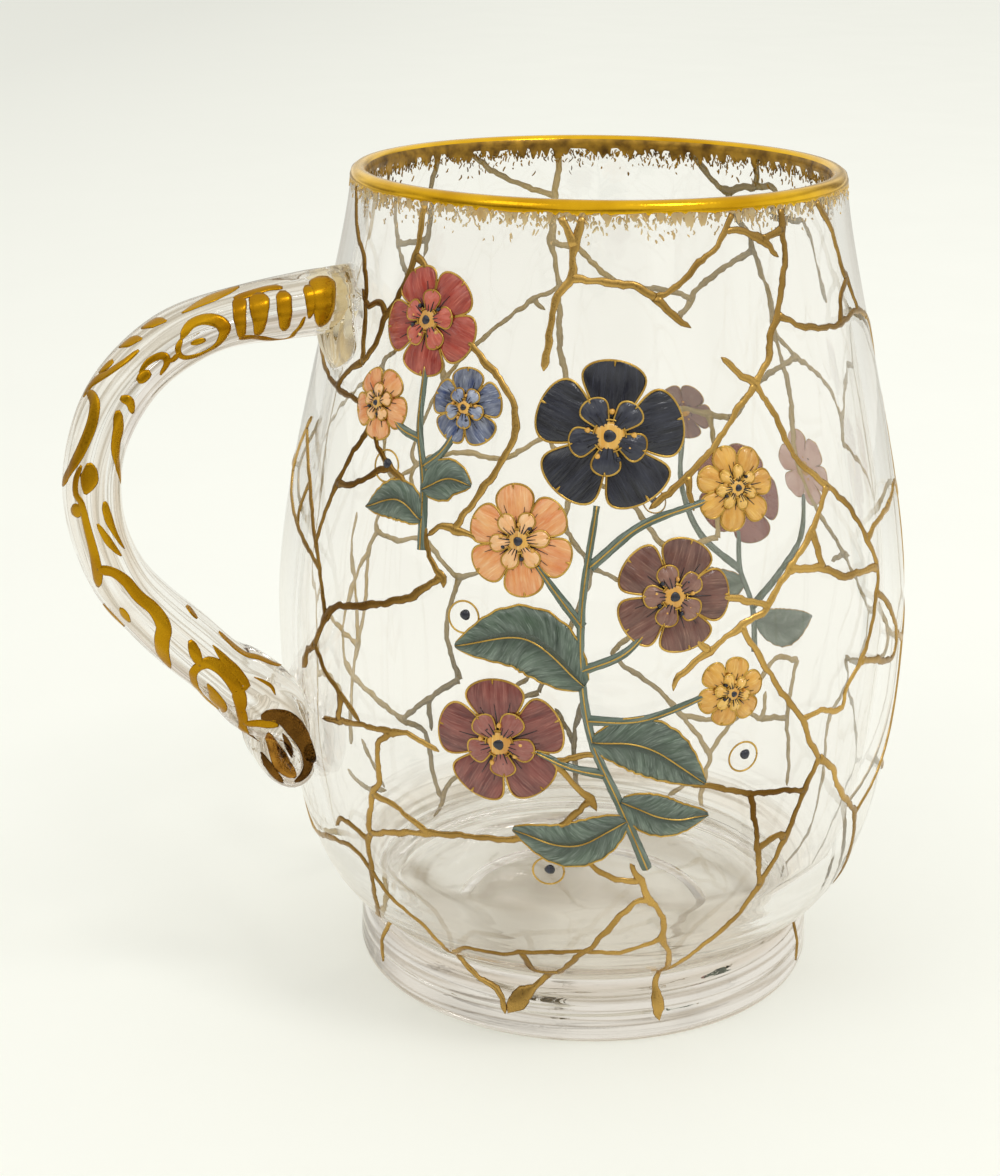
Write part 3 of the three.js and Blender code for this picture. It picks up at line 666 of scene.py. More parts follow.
def clear_glass(look, ripples):
    """Clear blown glass: painted shade where it is seen edge on, faint streaks and haze that are partly
    painted shade, and a tint where it is thick.
    """
    material, tree = new_material("clear blown glass")
    # Painted shade: where the surface is seen edge on, the glass's colour turns to the edge shade tint.
    facing = tree.add("LayerWeight", Blend=0.5).outputs["Facing"]
    edge = tree.spread(facing, look.edge_shade_start, 1.0)
    tint = tree.mix(edge, look.glass_tint, look.edge_shade_tint)
    blown = tree.placed(ripples, Wave_Scale=WAVE_SCALE, Line_Scale=LINE_SCALE)
    # Painted shade: lines, haze and the joint darken and warm the glass's colour; the lines are partly its
    # own drawn streaks.
    for value, colour, strength in (
        (blown["Haze"], look.haze_shade_tint, look.haze_shade_share),
        # Painted shade: the apron where the handle is drawn onto the wall is tinted darker and warm.
        (blown["Joint"], look.joint_shade_tint, 1.0),
        (blown["Lines"], look.line_shade_tint, look.line_shade_share),
        (tree.times(blown["Side Lines"], edge), look.line_shade_tint, look.line_shade_share),
    ):
        tint = tree.mix(tree.times(value, strength), tint, colour)
    normal = tree.bump(blown["Height"], 1.0, RIPPLE_DEPTH)
    glass = tree.add(
        "BsdfPrincipled", Base_Color=tint, Normal=normal, Roughness=0.0, IOR=look.glass_bending,
        Transmission_Weight=1.0,
    )
    path = tree.add("LightPath").outputs
    worn_out = tree.math("GREATER_THAN", path["Glossy Depth"], MOST_TURNS)
    straight = tree.add("BsdfTransparent", Color=look.shadow_tint).outputs["BSDF"]
    shader = glass.outputs["BSDF"]
    for let_by in (worn_out, path["Is Diffuse Ray"], path["Is Shadow Ray"]):
        mixed = tree.add("MixShader", Fac=let_by)
        tree.feed(mixed.inputs[1], shader)
        tree.feed(mixed.inputs[2], straight)
        shader = mixed.outputs["Shader"]
    depth = tree.add("VolumeAbsorption", Color=look.depth_tint, Density=look.depth_strength)
    tree.add("OutputMaterial", Surface=shader, Volume=depth.outputs["Volume"])
    return material


def fired_gold(look, wear, name, colours, roughness, patch_scale, grain=0.5, metal=1.0):
    """Fired gold that turns from its first colour to its second where it is thin."""
    material, tree = new_material(name)
    worn = tree.placed(wear, Patch_Scale=patch_scale, Grain_Scale=look.gold_grain)
    tree.surface(
        Metallic=metal,
        Base_Color=tree.mix(worn["Thin"], *colours),
        Roughness=tree.spread(worn["Grain"], 0.3, 0.7, roughness - 0.07, roughness + 0.1),
        Normal=tree.bump(worn["Grain"], grain, GRAIN_DEPTH),
    )
    return material


def gold_underside(wear, name, colours, patch_scale):
    """The side of the gold that lies on the glass: dull, olive and patchy."""
    material, tree = new_material(name)
    worn = tree.placed(wear, Patch_Scale=patch_scale)
    tree.surface(Base_Color=tree.mix(worn["Thin"], *colours), Roughness=0.5, Specular_IOR_Level=0.1)
    return material


def enamel(brush, name, base, shade, light, strokes=9.0, streaks=0.5):
    """Glossy enamel laid on with a brush: stroked and streaked with a lighter colour, dark at its root."""
    material, tree = new_material(name)
    brushed = tree.placed(brush, Strokes_Across=strokes)
    tone = tree.mix(brushed["Shade"], base, shade)
    for label, share, colour in (("Stroke", 0.28, light), ("Streak", streaks, light), ("Depth", 0.7, shade)):
        tone = tree.mix(tree.times(brushed[label], share), tone, colour)
    tree.surface(
        Base_Color=tone,
        Roughness=tree.spread(brushed["Stroke"], 0.0, 1.0, 0.1, 0.28),
        Normal=tree.bump(brushed["Stroke"], 0.6, BRUSH_DEPTH),
        Specular_IOR_Level=0.6,
    )
    return material


# The stage


def camera_matrix():
    """The camera's place and turn in the mug's frame."""
    pitch, yaw, roll, turn = (math.radians(a) for a in (CAMERA_PITCH, CAMERA_YAW, CAMERA_ROLL, FRONT_TURN))
    spin = Matrix.Rotation(-turn, 3, "Z")
    forward = Vector((math.sin(yaw) * math.cos(pitch), math.cos(yaw) * math.cos(pitch), -math.sin(pitch)))
    right = Vector((math.cos(yaw), -math.sin(yaw), 0.0))
    up = right.cross(forward)
    rolled_right = right * math.cos(roll) + up * math.sin(roll)
    rolled_up = up * math.cos(roll) - right * math.sin(roll)
    place = spin @ Vector((0.0, -CAMERA_DISTANCE, CAMERA_HEIGHT)) * MM
    columns = [spin @ rolled_right, spin @ rolled_up, -(spin @ forward)]
    turned = Matrix(columns).transposed().to_4x4()
    return Matrix.Translation(place) @ turned


def add_camera():
    """The camera at the picture's viewing angle."""
    data = bpy.data.cameras.new("viewer")
    data.sensor_fit = "AUTO"
    data.sensor_width = SENSOR
    data.lens = SENSOR * FOCAL_PIXELS / PICTURE_HEIGHT_PIXELS
    data.clip_start = 0.01
    data.clip_end = 50.0
    camera = new_object("viewer", data)
    camera.matrix_world = camera_matrix()
    bpy.context.scene.camera = camera


def floor_material(look):
    """Pale paper with painted shade that darkens it far to the left, and dark far out where gold mirrors it.
    """
    material, tree = new_material("pale floor")
    place = tree.place("Object")
    mottle_dark = [0.985 * part for part in look.floor_colour]
    tone = tree.ramp(tree.noise(place, 14.0, 6.0, 0.6), [(0.3, mottle_dark), (0.7, look.floor_colour)])
    turn = math.radians(FRONT_TURN)
    beside = tree.add("VectorMath", {"operation": "DOT_PRODUCT"}, Vector=place)
    beside.inputs[1].default_value = (math.cos(turn), -math.sin(turn), 0.0)
    # Painted shade: the floor's colour darkens far to the left, where the light falls off.
    left = tree.spread(beside.outputs["Value"], -0.5, -0.04, 1.0, 0.0)
    tone = tree.mix(left, tone, [(1 - look.painted_left_shade) * part for part in look.floor_colour])
    length = tree.add("VectorMath", {"operation": "LENGTH"}, Vector=place).outputs["Value"]
    far = tree.spread(length, 0.2, 1.1, 0.0, look.floor_fading)
    path = tree.add("LightPath").outputs
    mirrored = tree.math("SUBTRACT", path["Is Glossy Ray"], path["Is Transmission Ray"])
    tone = tree.mix(tree.math("MULTIPLY", far, mirrored, True), tone, look.room_dark)
    tree.add("OutputMaterial", Surface=tree.add("BsdfDiffuse", Color=tone).outputs["BSDF"])
    return material


def add_floor(look):
    """A wide floor that keeps the mug's soft shadow."""
    half = look.floor_half
    mesh = bpy.data.meshes.new("pale_floor")
    corners = [(-half, -half, 0), (half, -half, 0), (half, half, 0), (-half, half, 0)]
    mesh.from_pydata(corners, [], [(0, 1, 2, 3)])
    mesh.materials.append(floor_material(look))
    new_object("pale_floor", mesh)


def room_band(tree, level, dark, blotch):
    """What a ray sees of the room at a level from 0, below, to 1, above."""
    white = ROOM_WHITE
    stops = [(0.0, white), (0.5, white), (0.54, dark), (0.68, dark), (0.8, white), (1.0, ROOM_TOP)]
    return tree.mix(blotch, tree.ramp(level, stops), white)


def add_surroundings(look):
    """A white room: plain for the camera and for soft light, with darker bands that glass and gold show."""
    world = bpy.data.worlds.new("white room")
    bpy.context.scene.world = world
    world.use_nodes = True
    world.node_tree.nodes.clear()
    tree = Shading(world.node_tree)
    place = tree.place("Generated")
    level = tree.spread(tree.split(place)["Z"], -1.0, 1.0)
    blotch = tree.spread(tree.noise(place, 1.6, 2.0), 0.42, 0.6)
    mirrored = room_band(tree, level, look.room_dark, blotch)
    let_through = room_band(tree, level, look.room_soft, blotch)
    path = tree.add("LightPath").outputs
    seen = tree.mix(path["Is Transmission Ray"], mirrored, let_through)
    sharp = tree.math("MAXIMUM", path["Is Glossy Ray"], path["Is Transmission Ray"])
    light = tree.mix(sharp, look.room_light, seen)
    background = tree.add("Background", Color=tree.mix(path["Is Camera Ray"], light, look.backdrop_colour))
    tree.add("OutputWorld", Surface=background.outputs["Background"])


def add_lamp(name, place, size, power):
    """A soft square lamp that looks at the mug's middle, with its place and size in metres."""
    data = bpy.data.lights.new(name, "AREA")
    data.energy = power
    data.size = size
    lamp = new_object(name, data)
    lamp.location = place
    aim = Vector(LAMP_AIM) - Vector(place)
    lamp.rotation_euler = aim.to_track_quat("-Z", "Y").to_euler()


# The blown body


def inside_profile():
    """The inside of the glass from just under the lip down to the middle of the floor."""
    low_radius = outside_radius(INSIDE_TURN) - WALL - WALL_SWELL
    heights = np.linspace(GLASS_HEIGHT - 1.3, INSIDE_TURN, 70)
    share = (heights - INSIDE_TURN) / (GLASS_HEIGHT - INSIDE_TURN)
    wall = WALL + WALL_SWELL + share * (LIP_WALL - WALL - WALL_SWELL)
    upper = np.stack([outside_radius(heights) - wall, heights], axis=1)
    floor_edge = (FLOOR_RADIUS + 1.5, FLOOR_HEIGHT + 0.2)
    turn = cubic((low_radius, INSIDE_TURN), (36.2, 13.0), (31.5, 8.8), floor_edge, 26)
    ring = [[25.2, 8.05], [23.5, 8.0], [20.0, 8.15], [15.0, 8.45], [9.0, 8.7], [4.0, 8.8], [0.4, 8.82]]
    return np.vstack([upper, turn[1:], ring])


def outside_profile():
    """The outside of the glass from the middle of the underside up over the lip."""
    pontil = [[0.4, PONTIL_DEPTH], [8.0, PONTIL_DEPTH], [16.0, 0.95], [19.0, 0.8], [20.4, 0.5]]
    flat = [[PONTIL_RADIUS, 0.12], [22.5, 0.05], [28.0, 0.05], [33.0, 0.05]]
    angles = np.linspace(-math.pi / 2, 0.0, 8)
    centre = np.array([FOOT_RADIUS - FOOT_EDGE, FOOT_EDGE + 0.05])
    edge = centre + FOOT_EDGE * np.stack([np.cos(angles), np.sin(angles)], axis=1)
    heights = np.linspace(FOOT_EDGE + 0.3, FOOT_TOP - 0.3, 11)
    side = np.stack([FOOT_RADIUS + 0.1 * np.sin(0.95 * heights), heights], axis=1)
    turn = np.linspace(0.0, math.pi, 12)
    lip = np.array(LIP_MIDDLE) + LIP_WALL / 2 * np.stack([np.cos(turn), np.sin(turn)], axis=1)
    return np.vstack([pontil, flat, edge, side, OUTSIDE, lip])


def blown(radius, height, angle):
    """Moves the turned glass a little, as blowing by hand and shaping the foot leave it."""
    wander = 0.8 * np.sin(angle + 1.0) + 0.5 * np.sin(3 * angle)
    rings = sum(size * np.sin(height * pace + sway * wander) for size, pace, sway in TOOL_RINGS)
    marks = RING_DEPTH * rings * np.exp(-(((height - RING_MIDDLE) / RING_REACH) ** 2))
    shift = (blown_shift(height, angle) + marks) * smooth_step(radius / 20.0)
    return radius + shift, height


def body_mesh():
    """Vertices and faces of the blown barrel and its thick foot."""
    profile = np.vstack([outside_profile(), inside_profile()])
    vertices, faces = revolve(profile, GLASS_SIDES, blown)
    count = len(profile)
    faces = [face for face in faces if face[0] % count != count - 1]
    faces.append([i * count for i in range(GLASS_SIDES)][::-1])
    faces.append([i * count + count - 1 for i in range(GLASS_SIDES)])
    return vertices, faces


# The handle

# The strap's middle line in its own plane, as [distance from the axis, height]
STRAP_LINE = [
    [36.4, 107.8],
    [46.0, 107.2],
    [58.5, 105.5],
    [66.3, 102.0],
    [72.3, 96.0],
    [75.8, 88.0],
    [76.2, 79.5],
    [73.6, 71.0],
    [68.8, 64.4],
    [59.4, 54.6],
    [56.4, 52.1],
    [54.0, 49.7],
    [51.2, 47.5],
    [48.9, 44.6],
    [47.7, 41.2],
    [48.1, 38.2],
    [49.9, 37.2],
    [52.0, 38.6],
    [53.3, 41.4],
    [53.4, 44.2],
    [52.2, 46.2],
]
ROLL_START = 97.0
ROLL_RUN = 13.0
ROLL_JOIN = 111.5
ROLL_THICK = 3.5
ROLL_OVERLAP = 2.0
ROLL_EYE = [50.7, 41.8]
ROLL_EYE_SIZE = (2.7, 4.3, 4.2)

# Gold on the roll is sought from in front of it, on its near face, and this share of the way in to its eye
BEFORE_ROLL = -20.0
ROLL_FACE = -2.0
MOST_DRAWN_IN = 0.7

# The apron under the strap's top joint: heights, how far it stands out and half its width at each
APRON_HEIGHTS = [112.6, 111.2, 108.5, 105.6, 103.2, 101.2, 99.8, 98.8, 98.0]
APRON_RISE = [0.2, 0.7, 1.3, 2.2, 2.8, 2.2, 1.4, 0.7, 0.2]
APRON_HALF = [1.2, 2.0, 2.9, 4.6, 6.2, 6.0, 4.7, 2.9, 0.9]

# Glass above this height that stands out this far from the wall is the handle's. Up to this far, between the
# apron's heights, it is the apron's, whose streaks lie closer by this factor.
HANDLE_LOWEST = 22.0
PROUD = 0.35
APRON_REACH = 3.6
APRON_STREAKS = 1.5


def strap_frames():
    """The strap's middle, its outward direction, half thickness, half width and distance gone."""
    line = along_curve(STRAP_LINE, STRAP_STEP)
    gone = distances(np.diff(line, axis=0))
    gone = gone + STRAP_LINE[0][0] - STRAP_ROOT
    way = np.gradient(line, axis=0)
    way /= np.linalg.norm(way, axis=1)[:, None]
    outward = np.stack([-way[:, 1], way[:, 0]], axis=1)
    top = (STRAP_TOP_THICK - STRAP_THICK) * (1 - eased(gone, 0.0, TOP_RUN))
    low = (STRAP_LOW_THICK - STRAP_THICK) * eased(gone, LOW_START, LOW_RUN)
    low = low + (STRAP_END_THICK - STRAP_LOW_THICK) * eased(gone, END_START, END_RUN)
    rolled = eased(gone, ROLL_START, ROLL_RUN)
    neck = 1 - NECK_SHARE * (1 - eased(gone, NECK_START, NECK_RUN))
    tip = eased(gone, gone[-1] - TIP_RUN, TIP_RUN)
    thick = ((STRAP_THICK + top + low) * (1 - rolled) + ROLL_THICK * rolled) * (1 - 0.35 * tip)
    wide = (STRAP_WIDE + top + 0.3 * low) * (1 - 0.1 * rolled) * neck * (1 - 0.3 * tip)
    return line, outward, thick / 2, wide / 2, gone


def strap_mesh(first, last):
    """Vertices and faces of the ribbed strap between two distances along it. Its low end is rolled up."""
    frames = strap_frames()
    wanted = (frames[-1] >= first) & (frames[-1] <= last)
    line, outward, half_thick, half_wide, gone = (values[wanted] for values in frames)
    angle = round_angles(STRAP_SIDES)
    along = gone[:, None]
    ribs = np.cos(STRAP_RIBS * angle + along / 60.0 + 0.5 * np.sin(along / 17.0))
    ribs = ribs + 0.6 * np.cos(8 * angle - along / 47.0 + 1.0)
    ribs = ribs + 0.35 * np.cos(27 * angle + 0.8 * np.sin(along / 9.0))
    lumps = 0.02 * np.sin(along / 5.3 + 2 * angle) + 0.01 * np.sin(along / 2.1)
    swell = 1 + lumps + ribs * STRAP_RIB_DEPTH / STRAP_WIDE
    corner = 1 - 0.55 * eased(along, ROLL_START - 5.0, 10.0)
    cosine, sine = np.cos(angle)[None], np.sin(angle)[None]
    a = half_thick[:, None] * np.sign(cosine) * np.abs(cosine) ** corner * swell
    b = half_wide[:, None] * np.sign(sine) * np.abs(sine) ** corner * swell
    x = -(line[:, :1] + outward[:, :1] * a)
    z = line[:, 1:] + outward[:, 1:] * a
    vertices = np.stack([x, b, z], axis=-1).reshape(-1, 3)
    return vertices, ring_faces(len(line), STRAP_SIDES)


def apron_mesh():
    """The ribbed apron where the strap's top joint is drawn down onto the wall."""
    rows = 60
    columns = 64
    across = np.sin(np.linspace(-1.0, 1.0, columns) * math.pi / 2)[None]
    height = np.linspace(APRON_HEIGHTS[0], APRON_HEIGHTS[-1], rows)[:, None]
    share = (height[0] - height) / (height[0] - height[-1])
    reach = along_curve(np.stack([APRON_HEIGHTS, APRON_RISE, APRON_HALF], axis=1), 0.2)[::-1]
    rise = np.interp(height, reach[:, 0], reach[:, 1])
    half = np.interp(height, reach[:, 0], reach[:, 2])
    su, _ = glass_scale(height)
    bearing = HANDLE_BEARING + 2.0 * share + across * half / su
    crown = np.sqrt(np.clip(1 - across ** 2, 0.0, 1.0))
    ribs = 0.12 * np.cos(APRON_RIBS * math.pi * across + 0.9 * share)
    stand = rise * crown + ribs * crown * smooth_step(rise / 2.0)
    level = np.broadcast_to(height, bearing.shape)
    top = on_glass(bearing, level, stand)
    under = on_glass(bearing, level, np.full(bearing.shape, -1.0))
    return sheet_between(top, under)


def lump_mesh(centre, size):
    """A closed egg-shaped lump of glass about a centre."""
    rings, sides = 18, 28
    polar = np.linspace(0.12, math.pi - 0.12, rings)[:, None]
    angle = round_angles(sides)[None]
    x = centre[0] + size[0] * np.sin(polar) * np.cos(angle)
    z = centre[2] + size[2] * np.sin(polar) * np.sin(angle)
    y = centre[1] + size[1] * np.cos(polar) + 0 * angle
    return np.stack([x, y, z], axis=-1).reshape(-1, 3), ring_faces(rings, sides)


def glass_chart(vertices):
    """Where each point lies for the streaks, as [across, along] in millimetres."""
    radius = np.hypot(vertices[:, 0], vertices[:, 1])
    angle = np.arctan2(vertices[:, 1], vertices[:, 0])
    chart = np.stack([angle * BELLY_RADIUS, vertices[:, 2]], axis=1)
    proud = radius > outside_radius(vertices[:, 2]) + PROUD
    strap = np.flatnonzero(proud & (vertices[:, 0] < 0) & (vertices[:, 2] > HANDLE_LOWEST))
    line, outward, half_thick, half_wide, gone = strap_frames()
    spots = np.stack([-vertices[strap, 0], vertices[strap, 2]], axis=1)
    apart = np.linalg.norm(spots[:, None] - line[None], axis=2)
    nearest = np.argmin(apart, axis=1)
    out = np.einsum("ij,ij->i", spots - line[nearest], outward[nearest]) / half_thick[nearest]
    aside = np.abs(vertices[strap, 1]) / half_wide[nearest]
    chart[strap, 0] = np.arctan2(aside, out) * STRAP_WIDE / 2
    chart[strap, 1] = STRAP_MAP_START + gone[nearest]
    near_wall = radius[strap] < outside_radius(vertices[strap, 2]) + APRON_REACH
    apron = near_wall & (spots[:, 1] < APRON_HEIGHTS[0]) & (spots[:, 1] > APRON_HEIGHTS[-1])
    chart[strap[apron], 0] = np.abs(vertices[strap[apron], 1]) * APRON_STREAKS
    chart[strap[apron], 1] = APRON_MAP_START + spots[apron, 1]
    return chart


def fused(name, parts, material):
    """One closed body of glass from closed parts that run into each other."""
    pieces = []
    for number, (vertices, faces) in enumerate(parts):
        pieces.append(make_piece(f"{name}_part_{number}", vertices, turned_out(vertices, faces), [material]))
    body = pieces[0]
    for other in pieces[1:]:
        join = body.modifiers.new("fuse", "BOOLEAN")
        join.operation = "UNION"
        join.solver = "MANIFOLD"
        join.object = other
    depsgraph = bpy.context.evaluated_depsgraph_get()
    melted = bpy.data.meshes.new_from_object(body.evaluated_get(depsgraph))
    vertices = np.array([vertex.co for vertex in melted.vertices]) / MM
    faces = [list(polygon.vertices) for polygon in melted.polygons]
    bpy.data.meshes.remove(melted)
    for piece in pieces:
        mesh = piece.data
        bpy.data.objects.remove(piece)
        bpy.data.meshes.remove(mesh)
    glass = make_piece(name, vertices, faces, [material], None, glass_chart(vertices))
    glass.data.set_sharp_from_angle(angle=math.radians(40.0))
    return glass


def build_glass(look, ripples):
    """The body, the foot and the handle, melted into one as the glassmaker leaves them."""
    strap = strap_mesh(0.0, ROLL_JOIN)
    roll = strap_mesh(ROLL_JOIN - ROLL_OVERLAP, math.inf)
    eye = lump_mesh((-ROLL_EYE[0], 0.0, ROLL_EYE[1]), ROLL_EYE_SIZE)
    parts = [body_mesh(), strap, roll, apron_mesh(), eye]
    glass = fused("blown_glass", parts, clear_glass(look, ripples))
    settle(glass, "clear_glass", "foot", "bowl", "handle")


class Skin:
    """The finished surface of the glass, which the handle's gilding is laid on."""

    def __init__(self, piece):
        corners = [v.co / MM for v in piece.data.vertices]
        faces = [p.vertices[:] for p in piece.data.polygons]
        self.tree = BVHTree.FromPolygons(corners, faces)
        self.line, self.outward, self.half_thick, self.half_wide, self.gone = strap_frames()

    def hit(self, start, way, lift):
        """The first point of the glass on the way from start, raised towards the start."""
        place, normal, _, _ = self.tree.ray_cast(start, way)
        if place is None:
            raise RuntimeError(f"the gilding misses the handle at {start}")
        return place + normal * lift

    def face_of_roll(self, away, height, lift):
        """A point on the viewer's face of the rolled end, moved towards its eye until it meets the glass."""
        for share in np.linspace(0.0, MOST_DRAWN_IN, 15):
            level = height + (ROLL_EYE[1] - height) * share
            start = Vector((-away - (ROLL_EYE[0] - away) * share, BEFORE_ROLL, level))
            place, normal, _, _ = self.tree.ray_cast(start, Vector((0.0, 1.0, 0.0)))
            if place is not None and place.y < ROLL_FACE:
                return place + normal * lift
        raise RuntimeError(f"the gilding misses the roll at {away}, {height}")

    def round_strap(self, distance, angle, lift):
        """A point at a distance along the strap and an angle round it, 0 outwards and -90 at the viewer."""
        rows = (*self.line.T, *self.outward.T, self.half_thick, self.half_wide)
        away, height, out, up, thick, wide = (np.interp(distance, self.gone, row) for row in rows)
        turn = math.radians(angle)
        arm = Vector((-out, 0.0, up)) * (thick * math.cos(turn))
        arm = arm + Vector((0.0, 1.0, 0.0)) * (wide * math.sin(turn))
        return self.hit(Vector((-away, 0.0, height)) + arm * 1.5, -arm, lift)


def even_scale(height):
    """The scale of a place that is already in millimetres both ways."""
    return np.ones_like(height), np.ones_like(height)


def strap_scale(angle):
    """Millimetres per unit of distance and per degree round the strap."""
    return np.ones_like(angle), np.full_like(angle, ROUND_STRAP)


def each_place(find):
    """Makes a finder of one place and lift find whole grids of them."""

    def place(u, v, lift):
        spots = [find(*spot) for spot in zip(u.ravel(), v.ravel(), lift.ravel())]
        return np.array(spots).reshape(*u.shape, 3)

    return place


def stroke_widths(widths, count, slope, least):
    """Widths at count points along a stroke, rounded off at both ends."""
    share = np.linspace(0.0, 1.0, count)
    wide = np.interp(share, np.linspace(0.0, 1.0, len(widths)), widths)
    return wide * np.sqrt(np.clip(np.minimum(share, 1 - share) * count / slope + least, 0.0, 1.0))


def strap_line(skin, gathered, route, widths):
    """One gilt stroke on the strap along [distance, angle] places, with a width at each."""
    flat = along_curve(np.asarray(route, float) * [1.0, ROUND_STRAP], STRAP_STEP) / [1.0, ROUND_STRAP]
    wide = stroke_widths(widths, len(flat), 2.2, 0.2)
    gathered.add(*painted_line(each_place(skin.round_strap), strap_scale, flat, wide, FLAT_SECTION))


# The gold at the rim

# The materials of the rim's gold, in their order
RIM_BAND, RIM_BEHIND, RIM_FLECK, RIM_INNER, RIM_PAINTED_LIT_BACK = range(5)

# The shares of the band's outline at which it turns over the lip, its thickness at the edge, and how much
# thicker it is in the middle
ARC_START = 0.4
ARC_END = 0.6
BAND_EDGE = 0.01
BAND_THICK = 0.14
BAND_ROWS = 26

# Brush teeth that hang from the band outside and inside: its depth, how many, their lengths, and their
# widths as shares of the way round
RIM_TEETH = [(1.4, 220, (0.1, 0.6), (0.0006, 0.0022)), (1.8, 310, (0.3, 2.2), (0.0007, 0.0032))]

# Loose flecks outside and inside: whether inside, how many, how far under the lip they begin, their mean
# and greatest further drop, their greatest length, their widths, greatest lean and usual bend
FLECKS = [
    (False, 750, 1.3, 0.65, 3.2, 0.6, (0.1, 0.26), 42, 0.1),
    (True, 1500, 2.1, 0.75, 3.4, 0.9, (0.12, 0.36), 38, 0.12),
]
FLECK_SHORTEST = 0.2


def rim_profile_point(share, outer_low, inner_low):
    """A point of the lip's outline: 0 at the outer lower edge of the gold, 1 at the inner one."""
    radius_out = outside_radius(RIM_SHOULDER)
    middle_radius, middle_height = LIP_MIDDLE
    outer_share = np.clip(share / ARC_START, 0.0, 1.0)
    arc_share = np.clip((share - ARC_START) / (ARC_END - ARC_START), 0.0, 1.0)
    inner_share = np.clip((share - ARC_END) / (1 - ARC_END), 0.0, 1.0)
    outer_height = outer_low + (middle_height - outer_low) * outer_share
    inner_height = middle_height + (inner_low - middle_height) * inner_share
    turn = np.pi * arc_share
    on_arc = (share > ARC_START) & (share < ARC_END)
    on_outer = share <= ARC_START
    arc_radius = middle_radius + LIP_WALL / 2 * np.cos(turn)
    arc_height = middle_height + LIP_WALL / 2 * np.sin(turn)
    out_radius = np.minimum(outside_radius(outer_height), radius_out)
    in_radius = outside_radius(inner_height) - LIP_WALL - 0.01 * (middle_height - inner_height)
    radius = np.where(on_outer, out_radius, np.where(on_arc, arc_radius, in_radius))
    height = np.where(on_outer, outer_height, np.where(on_arc, arc_height, inner_height))
    normal_radius = np.where(on_outer, 1.0, np.where(on_arc, np.cos(turn), -1.0))
    normal_height = np.where(on_arc, np.sin(turn), 0.0)
    return radius, height, normal_radius, normal_height


def ragged_edge(rng, sides, depth, teeth, tooth_length, tooth_width):
    """How far the gold hangs down at each step round the rim: a wavy edge with brush teeth."""
    around = np.arange(sides) / sides
    length = np.full(sides, float(depth))
    for _ in range(4):
        turns = rng.randint(5, 23)
        length = length + 0.12 * np.sin(2 * math.pi * (turns * around + rng.random()))
    for _ in range(teeth):
        centre = rng.random()
        width = rng.uniform(*tooth_width)
        tall = rng.uniform(*tooth_length)
        away = np.abs((around - centre + 0.5) % 1.0 - 0.5)
        length = np.maximum(length, depth + tall * np.clip(1 - (away / width) ** 2, 0.0, 1.0))
    return length


def build_rim_gold(look, wear):
    """The burnished band over the lip with its ragged lower edges and loose flecks."""
    rng = random.Random(41)
    rows = BAND_ROWS
    sides = RIM_GOLD_SIDES
    outer_length, inner_length = (ragged_edge(rng, sides, *teeth) for teeth in RIM_TEETH)
    share = np.linspace(0.0, 1.0, rows)[None]
    outer_low = (GLASS_HEIGHT - outer_length)[:, None]
    inner_low = (GLASS_HEIGHT - inner_length)[:, None]
    radius, height, normal_radius, normal_height = rim_profile_point(share, outer_low, inner_low)
    angle = round_angles(sides)[:, None]
    thick = BAND_THICK * np.sqrt(np.clip(1 - (2 * share - 1) ** 8, 0.0, 1.0)) + BAND_EDGE
    rings = []
    for lift in (thick, np.full_like(thick, SUNK)):
        r = radius + normal_radius * lift
        z = height + normal_height * lift
        rings.append(np.stack([r * np.cos(angle), r * np.sin(angle), z], axis=-1))
    gathered = Gathered()
    loop = np.concatenate([rings[0], rings[1][:, ::-1]], axis=1)
    count = 2 * rows
    seen = [RIM_BAND if j < 0.52 * rows else RIM_INNER for j in range(rows)]
    below = [RIM_PAINTED_LIT_BACK if j < 1.4 * rows else RIM_BEHIND for j in range(rows, count - 1)]
    kinds = seen + below + [RIM_BAND]
    gathered.add(loop.reshape(-1, 3), turned_faces(sides, count), kinds * sides)
    add_flecks(gathered, rng)
    band_gold = [look.rim_gold, look.rim_gold_dark]
    fleck_gold_and_sheen = [look.fleck_gold_and_sheen, look.vein_gold]
    inner_gold = [look.inner_gold, look.inner_dark]
    golds = [
        fired_gold(look, wear, "burnished rim gold", band_gold, 0.15, 60.0, 0.15),
        # Partly painted shade: the band's dark underside seen from behind.
        gold_underside(wear, "rim gold from behind", RIM_BACK_AND_SHADE, 420.0),
        # Partly painted reflection: the outer flecks are a pale, half-metal gold that stands in for the
        # light they mirror.
        fired_gold(look, wear, "gold flecks with painted sheen", fleck_gold_and_sheen, 0.3, 300.0, 0.5, 0.3),
        fired_gold(look, wear, "worn inner rim gold", inner_gold, 0.38, 420.0, 0.5, 0.6),
        # Painted light: a pale underside for the inner gold, seen from outside.
        gold_underside(wear, "inner rim gold from outside, painted light", RIM_BACK_PAINTED_LIGHT, 300.0),
    ]
    settle(gathered.piece("rim_gold", golds), "rim_gold", "rim_gilding")


def inner_wall(bearing, height, lift):
    """Points on the inside of the wall near the rim."""
    depth = LIP_WALL + 0.01 * (GLASS_HEIGHT - height)
    return on_glass(bearing, height, lift - depth)


